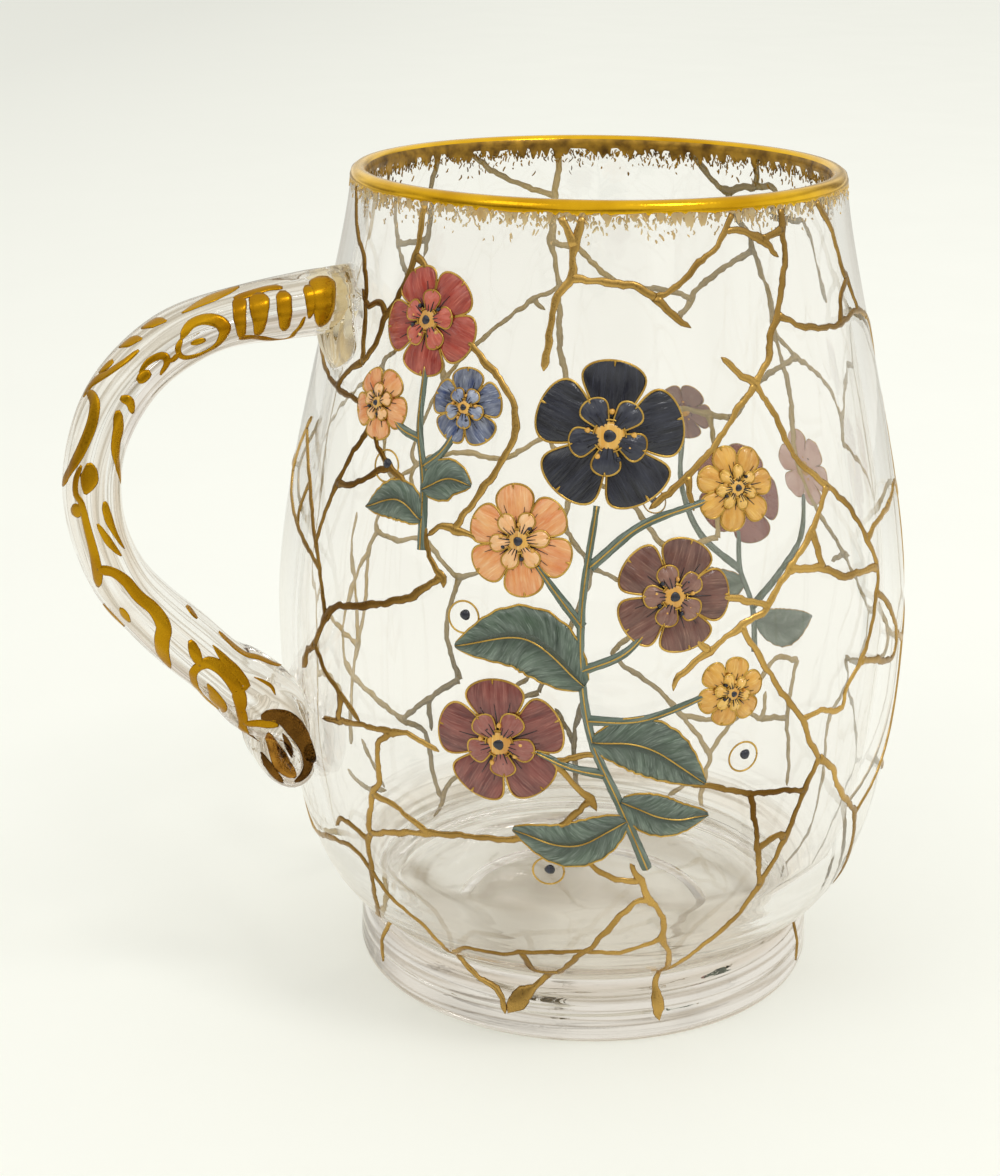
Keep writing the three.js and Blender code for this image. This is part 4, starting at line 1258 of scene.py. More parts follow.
def fleck(gathered, bearing, height, length, width, lean, bend, inside):
    """One short curved brush fleck on the outside or the inside of the wall."""
    share = np.linspace(0.0, 1.0, 5)
    su, sv = glass_scale(height)
    up = length * (share - 0.5)
    across = math.tan(math.radians(lean)) * up + bend * np.sin(np.pi * share)
    route = np.stack([bearing + across / su, height + up / sv], axis=1)
    widths = width * np.sqrt(np.clip(np.sin(np.pi * (0.08 + 0.84 * share)), 0.0, 1.0))
    place, rise = (inner_wall, -1.0) if inside else (on_glass, 1.0)
    face, back = (RIM_INNER, RIM_PAINTED_LIT_BACK) if inside else (RIM_FLECK, RIM_BEHIND)
    vertices, faces, underside = painted_line(place, glass_scale, route, widths, FINE_SECTION * [1.0, rise])
    gathered.add(vertices, faces, [back if under else face for under in underside])


def add_flecks(gathered, rng):
    """Loose flecks below the band, thinner the lower they lie."""
    for inside, count, start, mean_drop, most_drop, longest, widths, most_lean, usual_bend in FLECKS:
        for _ in range(count):
            height = GLASS_HEIGHT - start - min(rng.expovariate(1.0) * mean_drop, most_drop)
            length = rng.uniform(FLECK_SHORTEST, longest)
            lean = rng.uniform(-most_lean, most_lean)
            bend = rng.gauss(0, usual_bend)
            bearing = rng.uniform(0, 360)
            fleck(gathered, bearing, height, length, rng.uniform(*widths), lean, bend, inside)


# The gilt veins: routes of [bearing, height] places. Routes of one network share their junctions.

VEINS = {
    "left": [
        [[-40, 122.7], [-40.5, 119], [-41, 116], [-44, 110.5], [-47, 107.5], [-49, 103], [-52, 100.5]],
        [[-47, 107.5], [-50, 109], [-54, 108], [-57, 110]],
        [[-41, 116], [-38, 115], [-33, 112], [-29, 109], [-26, 106.5], [-21, 103.5], [-16, 100], [-14, 96],
         [-15, 93], [-17, 90], [-22, 84], [-24, 81.5]],
        [[-29, 80], [-27, 81.5], [-24, 81.5], [-21, 81], [-18, 80.5]],
        [[-71, 122.7], [-66, 117.5], [-60, 114.5], [-56, 110.5], [-53.5, 105], [-52, 100.5]],
        [[-79, 100.5], [-72, 98.5], [-66, 97], [-60, 96], [-55, 95.5], [-52, 95.5], [-47, 94], [-45.5, 93],
         [-42, 89.5], [-39, 88], [-33, 85], [-30, 81], [-29, 78.5], [-27, 76], [-25.5, 75], [-25, 73.5]],
        [[-60, 96], [-56, 99], [-52, 100.5]],
        [[-25.5, 75], [-28, 73.5], [-31, 71.5], [-37, 69.5], [-45, 67.5], [-48, 67], [-51.5, 64.5],
         [-55, 59.5]],
        [[-45.5, 93], [-50, 88], [-53, 83.5], [-54, 82], [-57, 75.5], [-57, 73.5], [-55, 71],
         [-51.5, 64.5]],
        [[-53, 83.5], [-49, 84], [-45, 85.5], [-42, 87], [-39, 88]],
        [[-70, 90], [-74, 86.5], [-79, 81], [-76, 77.5], [-67, 74.5], [-60, 72.5], [-55, 71]],
        [[-72, 88], [-64, 81.5], [-60, 77], [-57, 73.5]],
        [[-67, 74.5], [-67, 77.5], [-64, 81.5]],
        [[-55, 59.5], [-58, 57.5], [-60, 54.5]],
        [[-55, 59.5], [-51, 56], [-47, 54], [-42, 51]],
        [[-47, 54], [-48, 49.5]],
        [[-53, 48.5], [-48, 49.5], [-42, 50.5], [-35, 51], [-31, 51.5], [-25, 50]],
    ],
    "lower": [
        [[-35, 51], [-38, 48], [-38, 43], [-40, 40], [-42, 34.5], [-42, 33], [-43, 31.5], [-43.5, 29],
         [-44, 26], [-48, 17.5], [-57, 12], [-61, 7.5], [-59, 3.5]],
        [[-40, 40], [-35, 39.5], [-28, 36.5]],
        [[-42, 33], [-35, 35], [-28, 36.5], [-21, 37.5], [-13, 38], [-8, 39], [-4, 40.5], [-1, 43.5],
         [1, 45]],
        [[-4, 40.5], [-1, 37.5], [3, 33.5], [8, 32], [10, 32]],
        [[-59, 27], [-54, 28], [-48, 28.5], [-44, 26]],
        [[-53, 31], [-50, 33], [-44, 32], [-43, 31.5]],
        [[-44, 26], [-40, 22], [-34, 19], [-31.5, 15], [-32, 11.5], [-28, 9], [-21, 7.5], [-19, 6],
         [-18, 4]],
        [[8, 35], [10, 32], [12, 28.5], [15, 25], [15.5, 21], [18, 17], [19, 12], [18.5, 8], [19, 3.5]],
        [[12, 28.5], [9, 28], [4, 22.5], [2, 20], [-1, 17.5], [-5, 13], [-10, 9.5], [-15, 6.5],
         [-17.4, 4.2]],
        [[-32, 11.5], [-25, 16], [-17, 16.5], [-12, 17.7], [-7, 18.3], [0.5, 19], [6, 18.6], [9, 19],
         [12, 20], [15.5, 21]],
        [[-12, 17.7], [-10, 12.5], [-5, 13]],
        [[-15, 60], [-11, 57], [-7, 52], [-5, 50.5], [-3, 48.5], [1, 45], [2, 43.5]],
        [[-5, 50.5], [-2, 51.5], [3, 52], [6, 51]],
    ],
    "upper": [
        [[29.5, 122.7], [26, 119], [20, 116], [17, 114], [12, 112.5]],
        [[12, 112.5], [8, 114], [2, 114.5], [-5, 115]],
        [[12, 112.5], [15, 110.5], [19, 108.5]],
        [[-3, 122.7], [-4.5, 119], [-5, 115], [-8, 112], [-8.5, 109], [-9, 106], [-9.5, 103]],
        [[-7.5, 122.7], [-4.5, 119]],
        [[27.5, 120.5], [31, 120.5], [37, 119], [41, 116.5]],
        [[37, 119], [43, 120]],
        [[43, 122.7], [43, 120], [43, 116], [40, 110.5], [39.5, 109], [37, 107], [36, 104], [32, 100.5]],
        [[39.5, 109], [46, 107], [55, 106], [60, 106], [66, 106.5], [71, 106.5], [78, 105]],
        [[56, 122.7], [62, 118.5], [65, 113], [67, 111.5], [62, 109.5], [60, 106]],
        [[67, 111.5], [71, 106.5]],
    ],
    "right": [
        [[25, 104.5], [29, 102], [32, 100.5], [36, 96], [39, 91], [42, 88.5], [47, 85.5], [53, 81.5],
         [58, 76], [61, 71.5], [60, 68], [57, 62.5], [54, 59], [50, 56], [49, 53], [43, 54], [39, 53.5]],
        [[32, 100.5], [27, 97], [23, 93.5], [17, 89.5], [10, 85.5]],
        [[17, 89.5], [18, 85]],
        [[47, 85.5], [42, 80], [36, 75.5], [32, 72], [31, 71]],
        [[42, 80], [44, 74.5]],
        [[36, 75.5], [44, 74.5], [49, 72.5], [55, 72], [61, 71.5]],
        [[58, 76], [62, 77.5], [70, 78.5]],
        [[60, 68], [65, 65], [71, 59], [70, 56], [66, 56], [59, 58], [54, 59]],
        [[8, 77], [10, 75], [15, 73.5], [18, 73.5], [24, 73], [31, 71], [26, 69], [20, 66], [15, 63],
         [14, 61]],
        [[18, 73.5], [17, 69.5], [20, 66]],
        [[26, 69], [30, 63.5], [34, 58.5], [39, 53.5], [41, 50], [44, 46.5]],
        [[44, 46.5], [41, 42], [38, 35], [34, 28], [30, 22.5], [24, 17.5], [19, 12]],
        [[44, 46.5], [48, 44], [51, 40], [56, 36], [60, 33], [66, 24], [72, 15], [71.5, 10], [71, 6.5],
         [69.5, 2.5]],
        [[10, 49.5], [15, 47.5], [22, 46], [29, 44], [37, 43], [41, 42]],
        [[29, 44], [31, 38], [32, 34.5], [34, 28]],
        [[32, 34.5], [36, 36], [38, 35]],
    ],
    "side": [
        [[78, 105], [86, 102], [92, 96], [100, 94], [109, 84]],
        [[70, 78.5], [80, 80], [88, 76], [96, 78], [110, 80]],
        [[92, 96], [90, 86], [88, 76], [87, 67], [88, 60]],
        [[71, 59], [80, 56], [88, 60], [96, 55], [105, 57], [113, 60]],
        [[96, 55], [98, 46], [107, 43]],
        [[60, 33], [72, 38], [80, 46], [80, 56]],
        [[72, 38], [84, 33], [94, 36], [105, 39.5]],
        [[84, 33], [86, 24], [80, 16], [71.5, 10]],
        [[107, 43], [105, 39.5], [110, 31.5], [104, 22], [96, 14], [94, 6]],
        [[155, 122.7], [149, 118.5], [145, 117], [141, 118], [136, 118.5], [135, 122.7]],
        [[136, 118.5], [129, 118.5], [128, 114.5], [120, 114.5], [114, 114.5], [110, 109], [108, 103]],
        [[145, 117], [142, 113.5], [138, 110.5], [137, 108], [136, 106], [133, 100], [133, 94.5],
         [130, 85.5], [130, 75.5], [128, 70], [122, 64.5], [115, 61], [113, 60]],
        [[133, 94.5], [126, 91.5], [119, 90], [113, 88], [109, 84], [110, 80]],
        [[126, 91.5], [134, 88], [141, 84], [146, 78.5], [148, 77.5]],
        [[118, 57.5], [113, 60], [110, 60.5]],
    ],
    "back": [
        [[226, 122.7], [228, 116], [228, 109.5], [228, 106.5]],
        [[248, 122.7], [244, 115], [240, 110], [234, 104.5], [230.5, 101], [230, 98], [232, 92],
         [237, 89.5], [233, 82], [232, 72], [227, 67], [221, 62], [219, 55]],
        [[240, 110], [234, 109.5], [228, 109.5]],
        [[190, 122.7], [191, 115], [191.5, 107], [189, 99], [188, 88], [186, 80], [190, 72], [184, 64],
         [186, 55], [180, 47], [183, 38], [188, 30], [192, 24]],
        [[189, 99], [195, 97], [200, 94.5], [208, 90], [216, 84], [223, 73], [222, 69], [226, 68]],
        [[216, 122.7], [207, 119], [198, 116.5], [191, 115]],
        [[195, 97], [192, 95]],
        [[137, 108], [141, 106.5], [148, 103.5], [155, 99.5], [156, 98], [160, 94]],
        [[191.5, 107], [184, 105.5], [179, 102], [173, 99.5], [162, 99], [156, 98]],
        [[186, 80], [176, 75], [168, 72], [161, 77.5], [153, 77.5], [148, 77.5]],
        [[153, 77.5], [152, 72.5], [151, 67.5], [151, 55]],
        [[190, 72], [200, 68], [210, 70], [222, 69], [222, 63]],
        [[184, 64], [172, 60], [163, 52], [151, 55]],
        [[186, 55], [198, 50], [210, 47], [219, 55], [226, 56], [233, 59]],
        [[163, 52], [160, 42], [168, 36], [174, 31], [165, 26.5], [156, 22], [146, 17], [145, 14],
         [141, 8]],
        [[156, 22], [147, 22.5], [142, 23.5], [137, 29.5], [133, 36], [126, 37.5]],
        [[142, 23.5], [146, 17]],
        [[146, 14.5], [154, 10]],
        [[134, 30], [134, 25.5], [139, 26]],
        [[126, 37.5], [126, 27.5], [118, 17.5]],
        [[134, 25.5], [126, 27.5]],
        [[180, 47], [170, 44], [160, 42]],
        [[210, 47], [214, 38], [212, 28]],
        [[227, 67], [233, 61], [233, 59], [236, 56], [238, 47], [242, 40.5], [245, 36], [251, 25.5]],
        [[236, 56], [241, 52.5], [248, 44.5]],
        [[240, 64], [242, 58], [241, 47.5], [242, 40.5]],
        [[257, 55.5], [255, 50], [248, 44.5], [248, 40], [245, 36]],
        [[248, 44.5], [242, 40.5]],
        [[245, 36], [240, 32], [230, 24.5], [225, 22], [224, 19], [227, 11.5]],
        [[230, 24.5], [221, 26.5], [212, 28]],
        [[221, 26.5], [222, 21]],
        [[246, 25], [244, 16]],
        [[257, 22.5], [252, 18], [244, 15.5]],
        [[217, 13.5], [225, 12], [232, 8.5]],
        [[188, 21.5], [183, 16]],
        [[181, 22.5], [183, 16], [182, 8]],
        [[194, 27], [199, 24.5]],
        [[192, 24], [202, 22.5], [207, 20], [205, 17.5]],
        [[230, 98], [222, 95], [216, 84]],
        [[-79, 81], [-88, 80], [-96, 84], [-104, 86], [-112, 87], [-123, 89.5]],
        [[-96, 84], [-98, 70], [-96, 62], [-99, 54], [-103, 55.5]],
        [[-96, 84], [-98, 94], [-94, 104], [-100, 114], [-97, 122.7]],
        [[-79, 100.5], [-86, 101], [-94, 104]],
        [[-99, 54], [-96, 42], [-88, 34], [-81, 26], [-72, 24]],
        [[-59, 27], [-66, 25], [-72, 24]],
        [[-96, 42], [-102, 40], [-109, 35]],
    ],
}
# Free ends that swell into a drop: [bearing, height, widest, length of the swelling]
DROPS = [[-17.4, 4.2, 3.0, 7.0], [19, 3.5, 2.0, 6.5], [-60, 54.5, 1.9, 3.6]]


def junction_counts():
    """How often each place occurs over all routes."""
    return Counter(tuple(place) for routes in VEINS.values() for route in routes for place in route)


def vein_widths(rng, route, spots, counts):
    """The width along a vein: uneven, webbed at junctions and rounded at free ends."""
    gone = glass_distance(spots)
    uneven = 1 + sum(size * slow_noise(rng, gone, length) for size, length in VEIN_SWELLS)
    width = VEIN_WIDTH * rng.uniform(*VEIN_WIDTH_SPREAD) * uneven
    su, sv = glass_scale(spots[:, 1])
    for place in route:
        if counts[tuple(place)] < 2:
            continue
        apart = np.hypot((spots[:, 0] - place[0]) * su, (spots[:, 1] - place[1]) * sv)
        width = width * (1 + VEIN_WEB * np.exp(-(apart ** 2)))
    for end, away in ((route[0], gone), (route[-1], gone[-1] - gone)):
        if counts[tuple(end)] > 1 or end[1] > GILT_TOP - 0.5:
            continue
        width = width * np.sqrt(np.clip(away / 0.8, 0.02, 1.0))
    for bearing, height, widest, length in DROPS:
        if [bearing, height] != list(route[-1]):
            continue
        away = (gone[-1] - gone) / length
        swell = np.sin(np.pi * np.clip(away, 0.0, 1.0) ** 0.8) * (away < 1.0)
        width = np.where(away < 0.35, widest * swell, np.maximum(width, widest * swell))
    return width


def build_veins(look, wear):
    """The crackle of gilt veins, one piece for each part of the mug."""
    rng = random.Random(7)
    counts = junction_counts()
    gold = fired_gold(look, wear, "fired vein gold", [look.vein_gold, look.vein_dark], 0.3, 38.0)
    under = gold_underside(wear, "vein gold from behind", [look.under_gold, look.under_dark], 22.0)
    for label, routes in VEINS.items():
        gathered = Gathered()
        for route in routes:
            spots = even_route(route, VEIN_STEP)
            gone = glass_distance(spots)
            su, sv = glass_scale(spots[:, 1])
            ends = smooth_step(gone / 1.5) * smooth_step((gone[-1] - gone) / 1.5)
            spots[:, 0] += VEIN_SWAY * slow_noise(rng, gone, 5.0) * ends / su
            spots[:, 1] += VEIN_SWAY * slow_noise(rng, gone, 4.3) * ends / sv
            widths = vein_widths(rng, route, spots, counts)
            lift = 0.04 * rng.random() - 0.02
            gathered.add(*painted_line(on_glass, glass_scale, spots, widths, VEIN_SECTION, lift))
        piece = gathered.piece(f"veins_{label}", [gold, under])
        settle(piece, "vein_gold", f"gilt_veins_{label}")


# The gilt scrolls on the handle: strokes of [distance, angle round the strap] and widths along each

SCROLLS = {
    "gilt_patch": [
        ([[8.8, -28], [9.6, -60], [10, -95], [10.5, -122]], [3.6, 4.2, 3.4, 1.6]),
        ([[11.4, -40], [11.6, -70], [12.2, -100]], [1.8, 1.6, 0.8]),
    ],
    "gilt_loops": [
        ([[15, -42], [15.6, -84], [15.8, -118]], [2.2, 2.2, 1.4]),
        ([[18.2, -36], [19, -72], [19.4, -105], [19.8, -120]], [2.8, 2.8, 2, 1.3]),
        ([[20.8, -34], [21.8, -75], [22, -118]], [2, 1.8, 1.2]),
        ([[21.6, -36], [19, -32], [16.5, -30], [14.8, -36]], [1.3, 1.4, 1.2, 1]),
        ([[22.4, -116], [20, -124], [15.5, -150], [14, -126], [12.8, -95]], [1.2, 1, 0.8, 0.7, 0.6]),
    ],
    "gilt_oval": [
        ([[30, -72], [28, -56], [26, -58], [24.4, -75], [24.4, -95], [26, -116], [28.5, -120], [31, -106],
          [31.2, -86], [30, -72]], [1, 1.6, 2, 2, 1.2, 0.9, 0.8, 0.8, 1]),
        ([[29.3, -88], [27.2, -94]], [0.9, 1.2]),
        ([[31.2, -92], [32.4, -96], [33.2, -92]], [0.9, 1.1, 0.8]),
    ],
    "gilt_hook": [
        ([[35.2, -105], [33.4, -94], [33.2, -78], [35, -69], [37, -72]], [0.7, 1.1, 1.2, 1.1, 0.7]),
        ([[38, -80], [35.9, -86]], [1.9, 1.9]),
        ([[41, -72], [40.8, -92], [42, -112]], [1.3, 1.4, 1.1]),
        ([[42.6, -80], [44.8, -98], [47.5, -108], [50.5, -128], [53.8, -152]], [1.4, 2.1, 1.7, 1, 0.5]),
    ],
    "gilt_outer_line": [
        ([[28.2, -27], [25, -19], [20, -4]], [0.6, 2.2, 1]),
        ([[33, -2], [31.4, -10], [30.2, -26]], [1, 2, 0.8]),
        ([[36.4, 0], [34.8, -12], [33.8, -26]], [0.9, 1.9, 0.8]),
        ([[40.2, -6], [38, -14]], [0.9, 1.4]),
        ([[35, -40], [37.2, -36], [39.5, -24], [41.5, -6], [43.5, -2]], [0.8, 1, 1.2, 1.3, 1]),
        ([[42.6, -6], [43.2, -34], [45.5, -47], [48.5, -45], [51.2, -32], [54.5, -2]],
         [1, 1.8, 1.9, 1.8, 1.4, 1]),
    ],
    "gilt_long_scroll": [
        ([[50.4, -63], [52, -68], [54.5, -62]], [1.6, 3.2, 1.2]),
        ([[51, -50], [53, -42], [54.8, -43], [55.8, -54], [58.5, -59], [61.8, -59], [65, -50], [67.5, -32]],
         [0.8, 1, 1.1, 1.3, 1.5, 1.8, 2, 1.2]),
        ([[57.2, -30], [56.8, -44], [56.2, -56]], [1.8, 1.9, 1]),
        ([[55.5, -98], [57.5, -102], [61, -112], [63.5, -120]], [1.3, 1.6, 0.9, 0.4]),
        ([[58.5, -80], [61.5, -94], [64.2, -108]], [0.7, 1.4, 0.6]),
        ([[65, -52], [65.8, -78], [68, -94], [71, -97], [74, -101], [76.8, -90], [78.2, -68], [80.2, -46],
          [83, -30]], [1.5, 1.7, 2, 2.1, 2.2, 2.5, 2.3, 2, 0.8]),
        ([[78.6, -158], [80.8, -146]], [1.5, 1.3]),
        ([[71, -54], [72.2, -48], [73.5, -44]], [1.2, 1.5, 0.8]),
        ([[70.5, -8], [72.2, -9], [74.5, -12]], [0.6, 1.3, 0.6]),
    ],
    "gilt_lower_scroll": [
        ([[81.2, -102], [82.8, -92], [85, -78]], [1.3, 1.9, 1.1]),
        ([[93.3, -12], [91.4, -12], [89.3, -22], [86.8, -42], [85.2, -60], [85, -78], [85.6, -92],
          [87.3, -98], [89.3, -96], [91.3, -88], [93, -77], [95, -60]],
         [0.3, 0.8, 1.2, 1, 1.1, 1.5, 1.9, 2.1, 2.1, 1.9, 1.6, 1.4]),
        ([[88, -60], [90.8, -46], [94, -20]], [0.5, 2.3, 1.3]),
        ([[84.6, -121], [87.8, -114], [90.3, -109], [92.6, -100], [92.2, -90]], [0.3, 1.3, 1.8, 1.4, 0.9]),
        ([[85.2, -158], [87.8, -154], [90.8, -152], [94.6, -158], [97, -168]], [0.9, 1.5, 1.2, 1, 0.3]),
        ([[93, -116], [95.4, -118], [97, -112]], [0.3, 0.5, 0.3]),
    ],
}

# Gold on the near face of the rolled end, in the handle's plane, as [distance from the axis, height]:
# routes, widths and the gold's number among the scrolls' materials. Its lines have a point every step.
SCROLL_GOLD, SCROLL_BEHIND, ROLL_SHADED_GOLD, ROLL_AMBER = range(4)
ROLL_STEP = 0.4
ROLL_STROKES = [
    ([[58.5, 53.0], [58.1, 51.4], [57.7, 49.7], [57.3, 47.9], [57.2, 46.4], [56.6, 45.2], [56.0, 44.4]],
     [1.4, 1.4, 1.3, 1.4, 1.1, 1.0, 0.4], SCROLL_GOLD),
    ([[57.2, 47.2], [55.4, 47.3], [53.7, 47.0], [52.2, 46.5]], [1.2, 1.2, 1.6, 0.8], SCROLL_GOLD),
    ([[53.4, 48.3], [52.7, 47.4]], [1.1, 1.3], SCROLL_GOLD),
    # Partly painted shade: the dark strokes of the roll are gold painted dark brown for the shade it lies
    # in.
    ([[54.9, 48.4], [53.2, 48.4], [51.3, 47.6], [49.8, 45.9], [48.4, 43.4], [47.7, 40.8], [47.8, 38.9],
      [48.7, 37.6], [49.9, 37.0]], [1.7, 2.1, 2.6, 2.9, 2.6, 2.0, 1.7, 1.4, 0.7], ROLL_SHADED_GOLD),
    ([[53.8, 45.6], [53.2, 43.9], [52.5, 42.0], [51.7, 40.3], [50.6, 38.8], [49.7, 37.7]],
     [0.7, 1.5, 2.2, 2.8, 2.3, 1.2], ROLL_AMBER),
    ([[54.7, 42.4], [53.9, 40.5], [52.7, 38.5], [51.6, 37.1]], [0.4, 1.1, 1.2, 0.7], ROLL_SHADED_GOLD),
    ([[51.6, 45.2], [50.7, 43.2], [50.0, 41.2], [49.7, 40.1]], [0.4, 0.8, 0.9, 0.4], ROLL_SHADED_GOLD),
]


def roll_line(skin, gathered, route, widths, gold, lift):
    """A gilt stroke on the viewer's face of the rolled end, raised by lift where it crosses others."""
    spots = along_curve(route, ROLL_STEP)
    wide = stroke_widths(widths, len(spots), 2.5, 0.15)
    place = each_place(skin.face_of_roll)
    vertices, faces, _ = painted_line(place, even_scale, spots, wide, FLAT_SECTION, lift)
    gathered.add(vertices, faces, gold)


def build_scrolls(look, wear, glass):
    """Scrolls, leaves and dots of gold on the flank of the handle that faces the viewer."""
    scroll_gold = [look.scroll_gold, look.scroll_dark]
    under_gold = [look.under_gold, look.under_dark]
    roll_shade_gold = [look.roll_shade_gold, look.roll_shade_gold_thin]
    golds = [
        fired_gold(look, wear, "fired scroll gold", scroll_gold, 0.3, 110.0, 0.3),
        gold_underside(wear, "scroll gold from behind", under_gold, 90.0),
        # Partly painted shade: the roll's gold, dark brown for the shade it lies in as seen through the
        # glass.
        fired_gold(look, wear, "shaded dark gold of the roll", roll_shade_gold, 0.25, 260.0, 0.2),
        fired_gold(look, wear, "amber gold of the roll", AMBER_GOLD, 0.25, 300.0, 0.2),
    ]
    skin = Skin(glass)
    for label, strokes in SCROLLS.items():
        gathered = Gathered()
        for route, widths in strokes:
            strap_line(skin, gathered, route, widths)
        if label == "gilt_lower_scroll":
            for order, (route, widths, number) in enumerate(ROLL_STROKES):
                roll_line(skin, gathered, route, widths, number, 0.02 * order)
        piece = gathered.piece(f"{label.removeprefix('gilt_')}_gold", golds)
        settle(piece, "vein_gold", f"{label}_front")


# The enamelled sprays: stems, leaves and berries at [bearing, height] places

# The materials of a spray, in their order
FACE, BEHIND, GOLD_LINE, DARK, OCHRE, PALE = range(6)

# Brush strokes per millimetre, and how far brush maps are moved apart
BRUSH_STEP = 0.13
BRUSH_SHIFT = 20.0

# Rows and columns of a petal, where it begins as a share of its length, and other parts of flowers
PETAL_ROWS = 18
PETAL_COLUMNS = 15
PETAL_ROOT = 0.12
HEART_DROPS = 9
LEAF_COLUMNS = 11
BERRY_RADIUS = 2.2

SPRAYS = {
    "front_spray": {
        "stems": [
            [[11, 34], [6, 44], [1, 54], [-1, 64], [-1, 74], [1, 86]],
            [[3, 49], [-2.5, 50], [-8, 52]],
            [[-1, 70], [-6, 75], [-9, 78]],
            [[-1, 64], [6, 66.5], [11, 71]],
            [[0, 57], [9, 57], [20, 60]],
            [[0, 78], [9, 83.5], [22, 86.5]],
        ],
        "leaves": [
            {"route": [[-0.5, 62], [-10, 68], [-22, 66]], "width": 9},
            {"route": [[1, 54], [10, 53], [20, 47]], "width": 8},
            {"route": [[7, 42], [-2, 38], [-12, 40]], "width": 7},
            {"route": [[6, 45], [14, 42], [21, 42]], "width": 6},
        ],
        "berries": [[-6, 33.5], [27, 50], [-21, 70]],
    },
    "left_spray": {
        "stems": [
            [[-30, 78], [-31, 87], [-33.5, 94], [-34, 102]],
            [[-31.5, 89], [-28, 91.3], [-25, 95]],
            [[-33, 92.5], [-37.3, 93.3], [-41, 95]],
        ],
        "leaves": [
            {"route": [[-31, 86], [-26, 88], [-21.5, 87.5]], "width": 5.5},
            {"route": [[-30.5, 82], [-36, 84], [-43, 82]], "width": 5.5},
        ],
        "berries": [[-40, 88]],
    },
    "back_spray": {
        "stems": [
            [[139, 36], [141, 44], [145, 50], [146, 57]],
            [[141, 44], [134, 52], [129, 59], [128, 67]],
            [[145, 50], [155, 55], [160, 64], [159.5, 74]],
        ],
        "leaves": [
            {"route": [[144, 48], [152, 46], [162, 48]], "width": 6.5},
            {"route": [[140, 42], [132, 42], [124, 46]], "width": 6.5},
        ],
        "berries": [[166, 60]],
    },
}
BLOOMS = {
    "front_spray_dark_bloom": {"at": [3, 95], "radius": 10, "petals": 5, "enamel": "dark", "turn": 12},
    "front_spray_peach_bloom": {"at": [-12, 81], "radius": 7.5, "petals": 6, "enamel": "peach", "turn": 40},
    "front_spray_brown_bloom": {"at": [14, 74], "radius": 8, "petals": 5, "enamel": "brown", "turn": 70},
    "front_spray_maroon_bloom": {"at": [-14, 53], "radius": 9, "petals": 5, "enamel": "maroon", "turn": 25},
    "front_spray_gold_bloom": {"at": [26, 87.5], "radius": 5.8, "petals": 7, "enamel": "ochre", "turn": 5},
    "front_spray_yellow_bloom": {"at": [24, 60], "radius": 5, "petals": 6, "enamel": "ochre", "turn": 15},
    "left_spray_red_bloom": {"at": [-34.5, 108], "radius": 7.5, "petals": 5, "enamel": "red", "turn": 50},
    "left_spray_blue_bloom": {"at": [-24, 97.5], "radius": 5.2, "petals": 5, "enamel": "blue", "turn": 20},
    "left_spray_peach_bloom": {"at": [-44, 96], "radius": 5, "petals": 5, "enamel": "peach", "turn": 60},
    "back_spray_maroon_bloom": {"at": [146, 64], "radius": 9, "petals": 5, "enamel": "maroon", "turn": 30},
    "back_spray_pink_bloom": {"at": [127, 72], "radius": 6.5, "petals": 6, "enamel": "pink", "turn": 10},
    "back_spray_brown_bloom": {"at": [159, 77.5], "radius": 5, "petals": 5, "enamel": "brown", "turn": 45},
}
# Enamel colours as [body, shade, light]
ENAMELS = {
    "green": [(0.075, 0.115, 0.075), (0.02, 0.035, 0.022), (0.42, 0.5, 0.42)],
    "dark": [(0.008, 0.009, 0.018), (0.002, 0.002, 0.003), (0.05, 0.056, 0.085)],
    "peach": [(0.78, 0.36, 0.12), (0.62, 0.16, 0.035), (0.92, 0.72, 0.42)],
    "brown": [(0.15, 0.055, 0.04), (0.06, 0.018, 0.013), (0.42, 0.24, 0.17)],
    "maroon": [(0.2, 0.042, 0.032), (0.065, 0.01, 0.01), (0.5, 0.22, 0.17)],
    "ochre": [(0.74, 0.38, 0.055), (0.5, 0.2, 0.02), (0.9, 0.66, 0.22)],
    "red": [(0.38, 0.045, 0.025), (0.16, 0.012, 0.012), (0.75, 0.24, 0.16)],
    "blue": [(0.03, 0.055, 0.16), (0.008, 0.012, 0.035), (0.7, 0.74, 0.8)],
    "pink": [(0.58, 0.32, 0.26), (0.4, 0.12, 0.1), (0.88, 0.7, 0.62)],
}


def local_place(at):
    """Turns [across, up] millimetres about a place into points on the glass."""
    bearing, height = at
    su, sv = glass_scale(height)

    def place(across, up, lift):
        return on_glass(bearing + across / su, height + up / sv, lift)

    return place


def add_sheet(gathered, top, under, chart, paint):
    """Adds a painted sheet whose brush map is the chart, with the paint as seen from behind below it."""
    vertices, faces = sheet_between(top, under)
    rows, columns = top.shape[:2]
    strokes = np.concatenate([chart, chart[:, ::-1]], axis=1).reshape(-1, 2)
    hidden = [columns <= j < 2 * columns - 1 for j in range(2 * columns)]
    numbers = [BEHIND if below else paint for _ in range(rows - 1) for below in hidden] + [paint, paint]
    gathered.add(vertices, faces, numbers, strokes)


def fine_line(gathered, place, scale, route, widths, lifts, material):
    """A fine line of gold or enamel on the surface that place and scale describe."""
    vertices, faces, _ = painted_line(place, scale, route, widths, FINE_SECTION, lifts)
    gathered.add(vertices, faces, material)


def circle(radius, count):
    """Points on a circle about a spot, with the first one again at the end."""
    angle = np.linspace(0, 2 * math.pi, count)
    return np.stack([radius * np.cos(angle), radius * np.sin(angle)], axis=1)


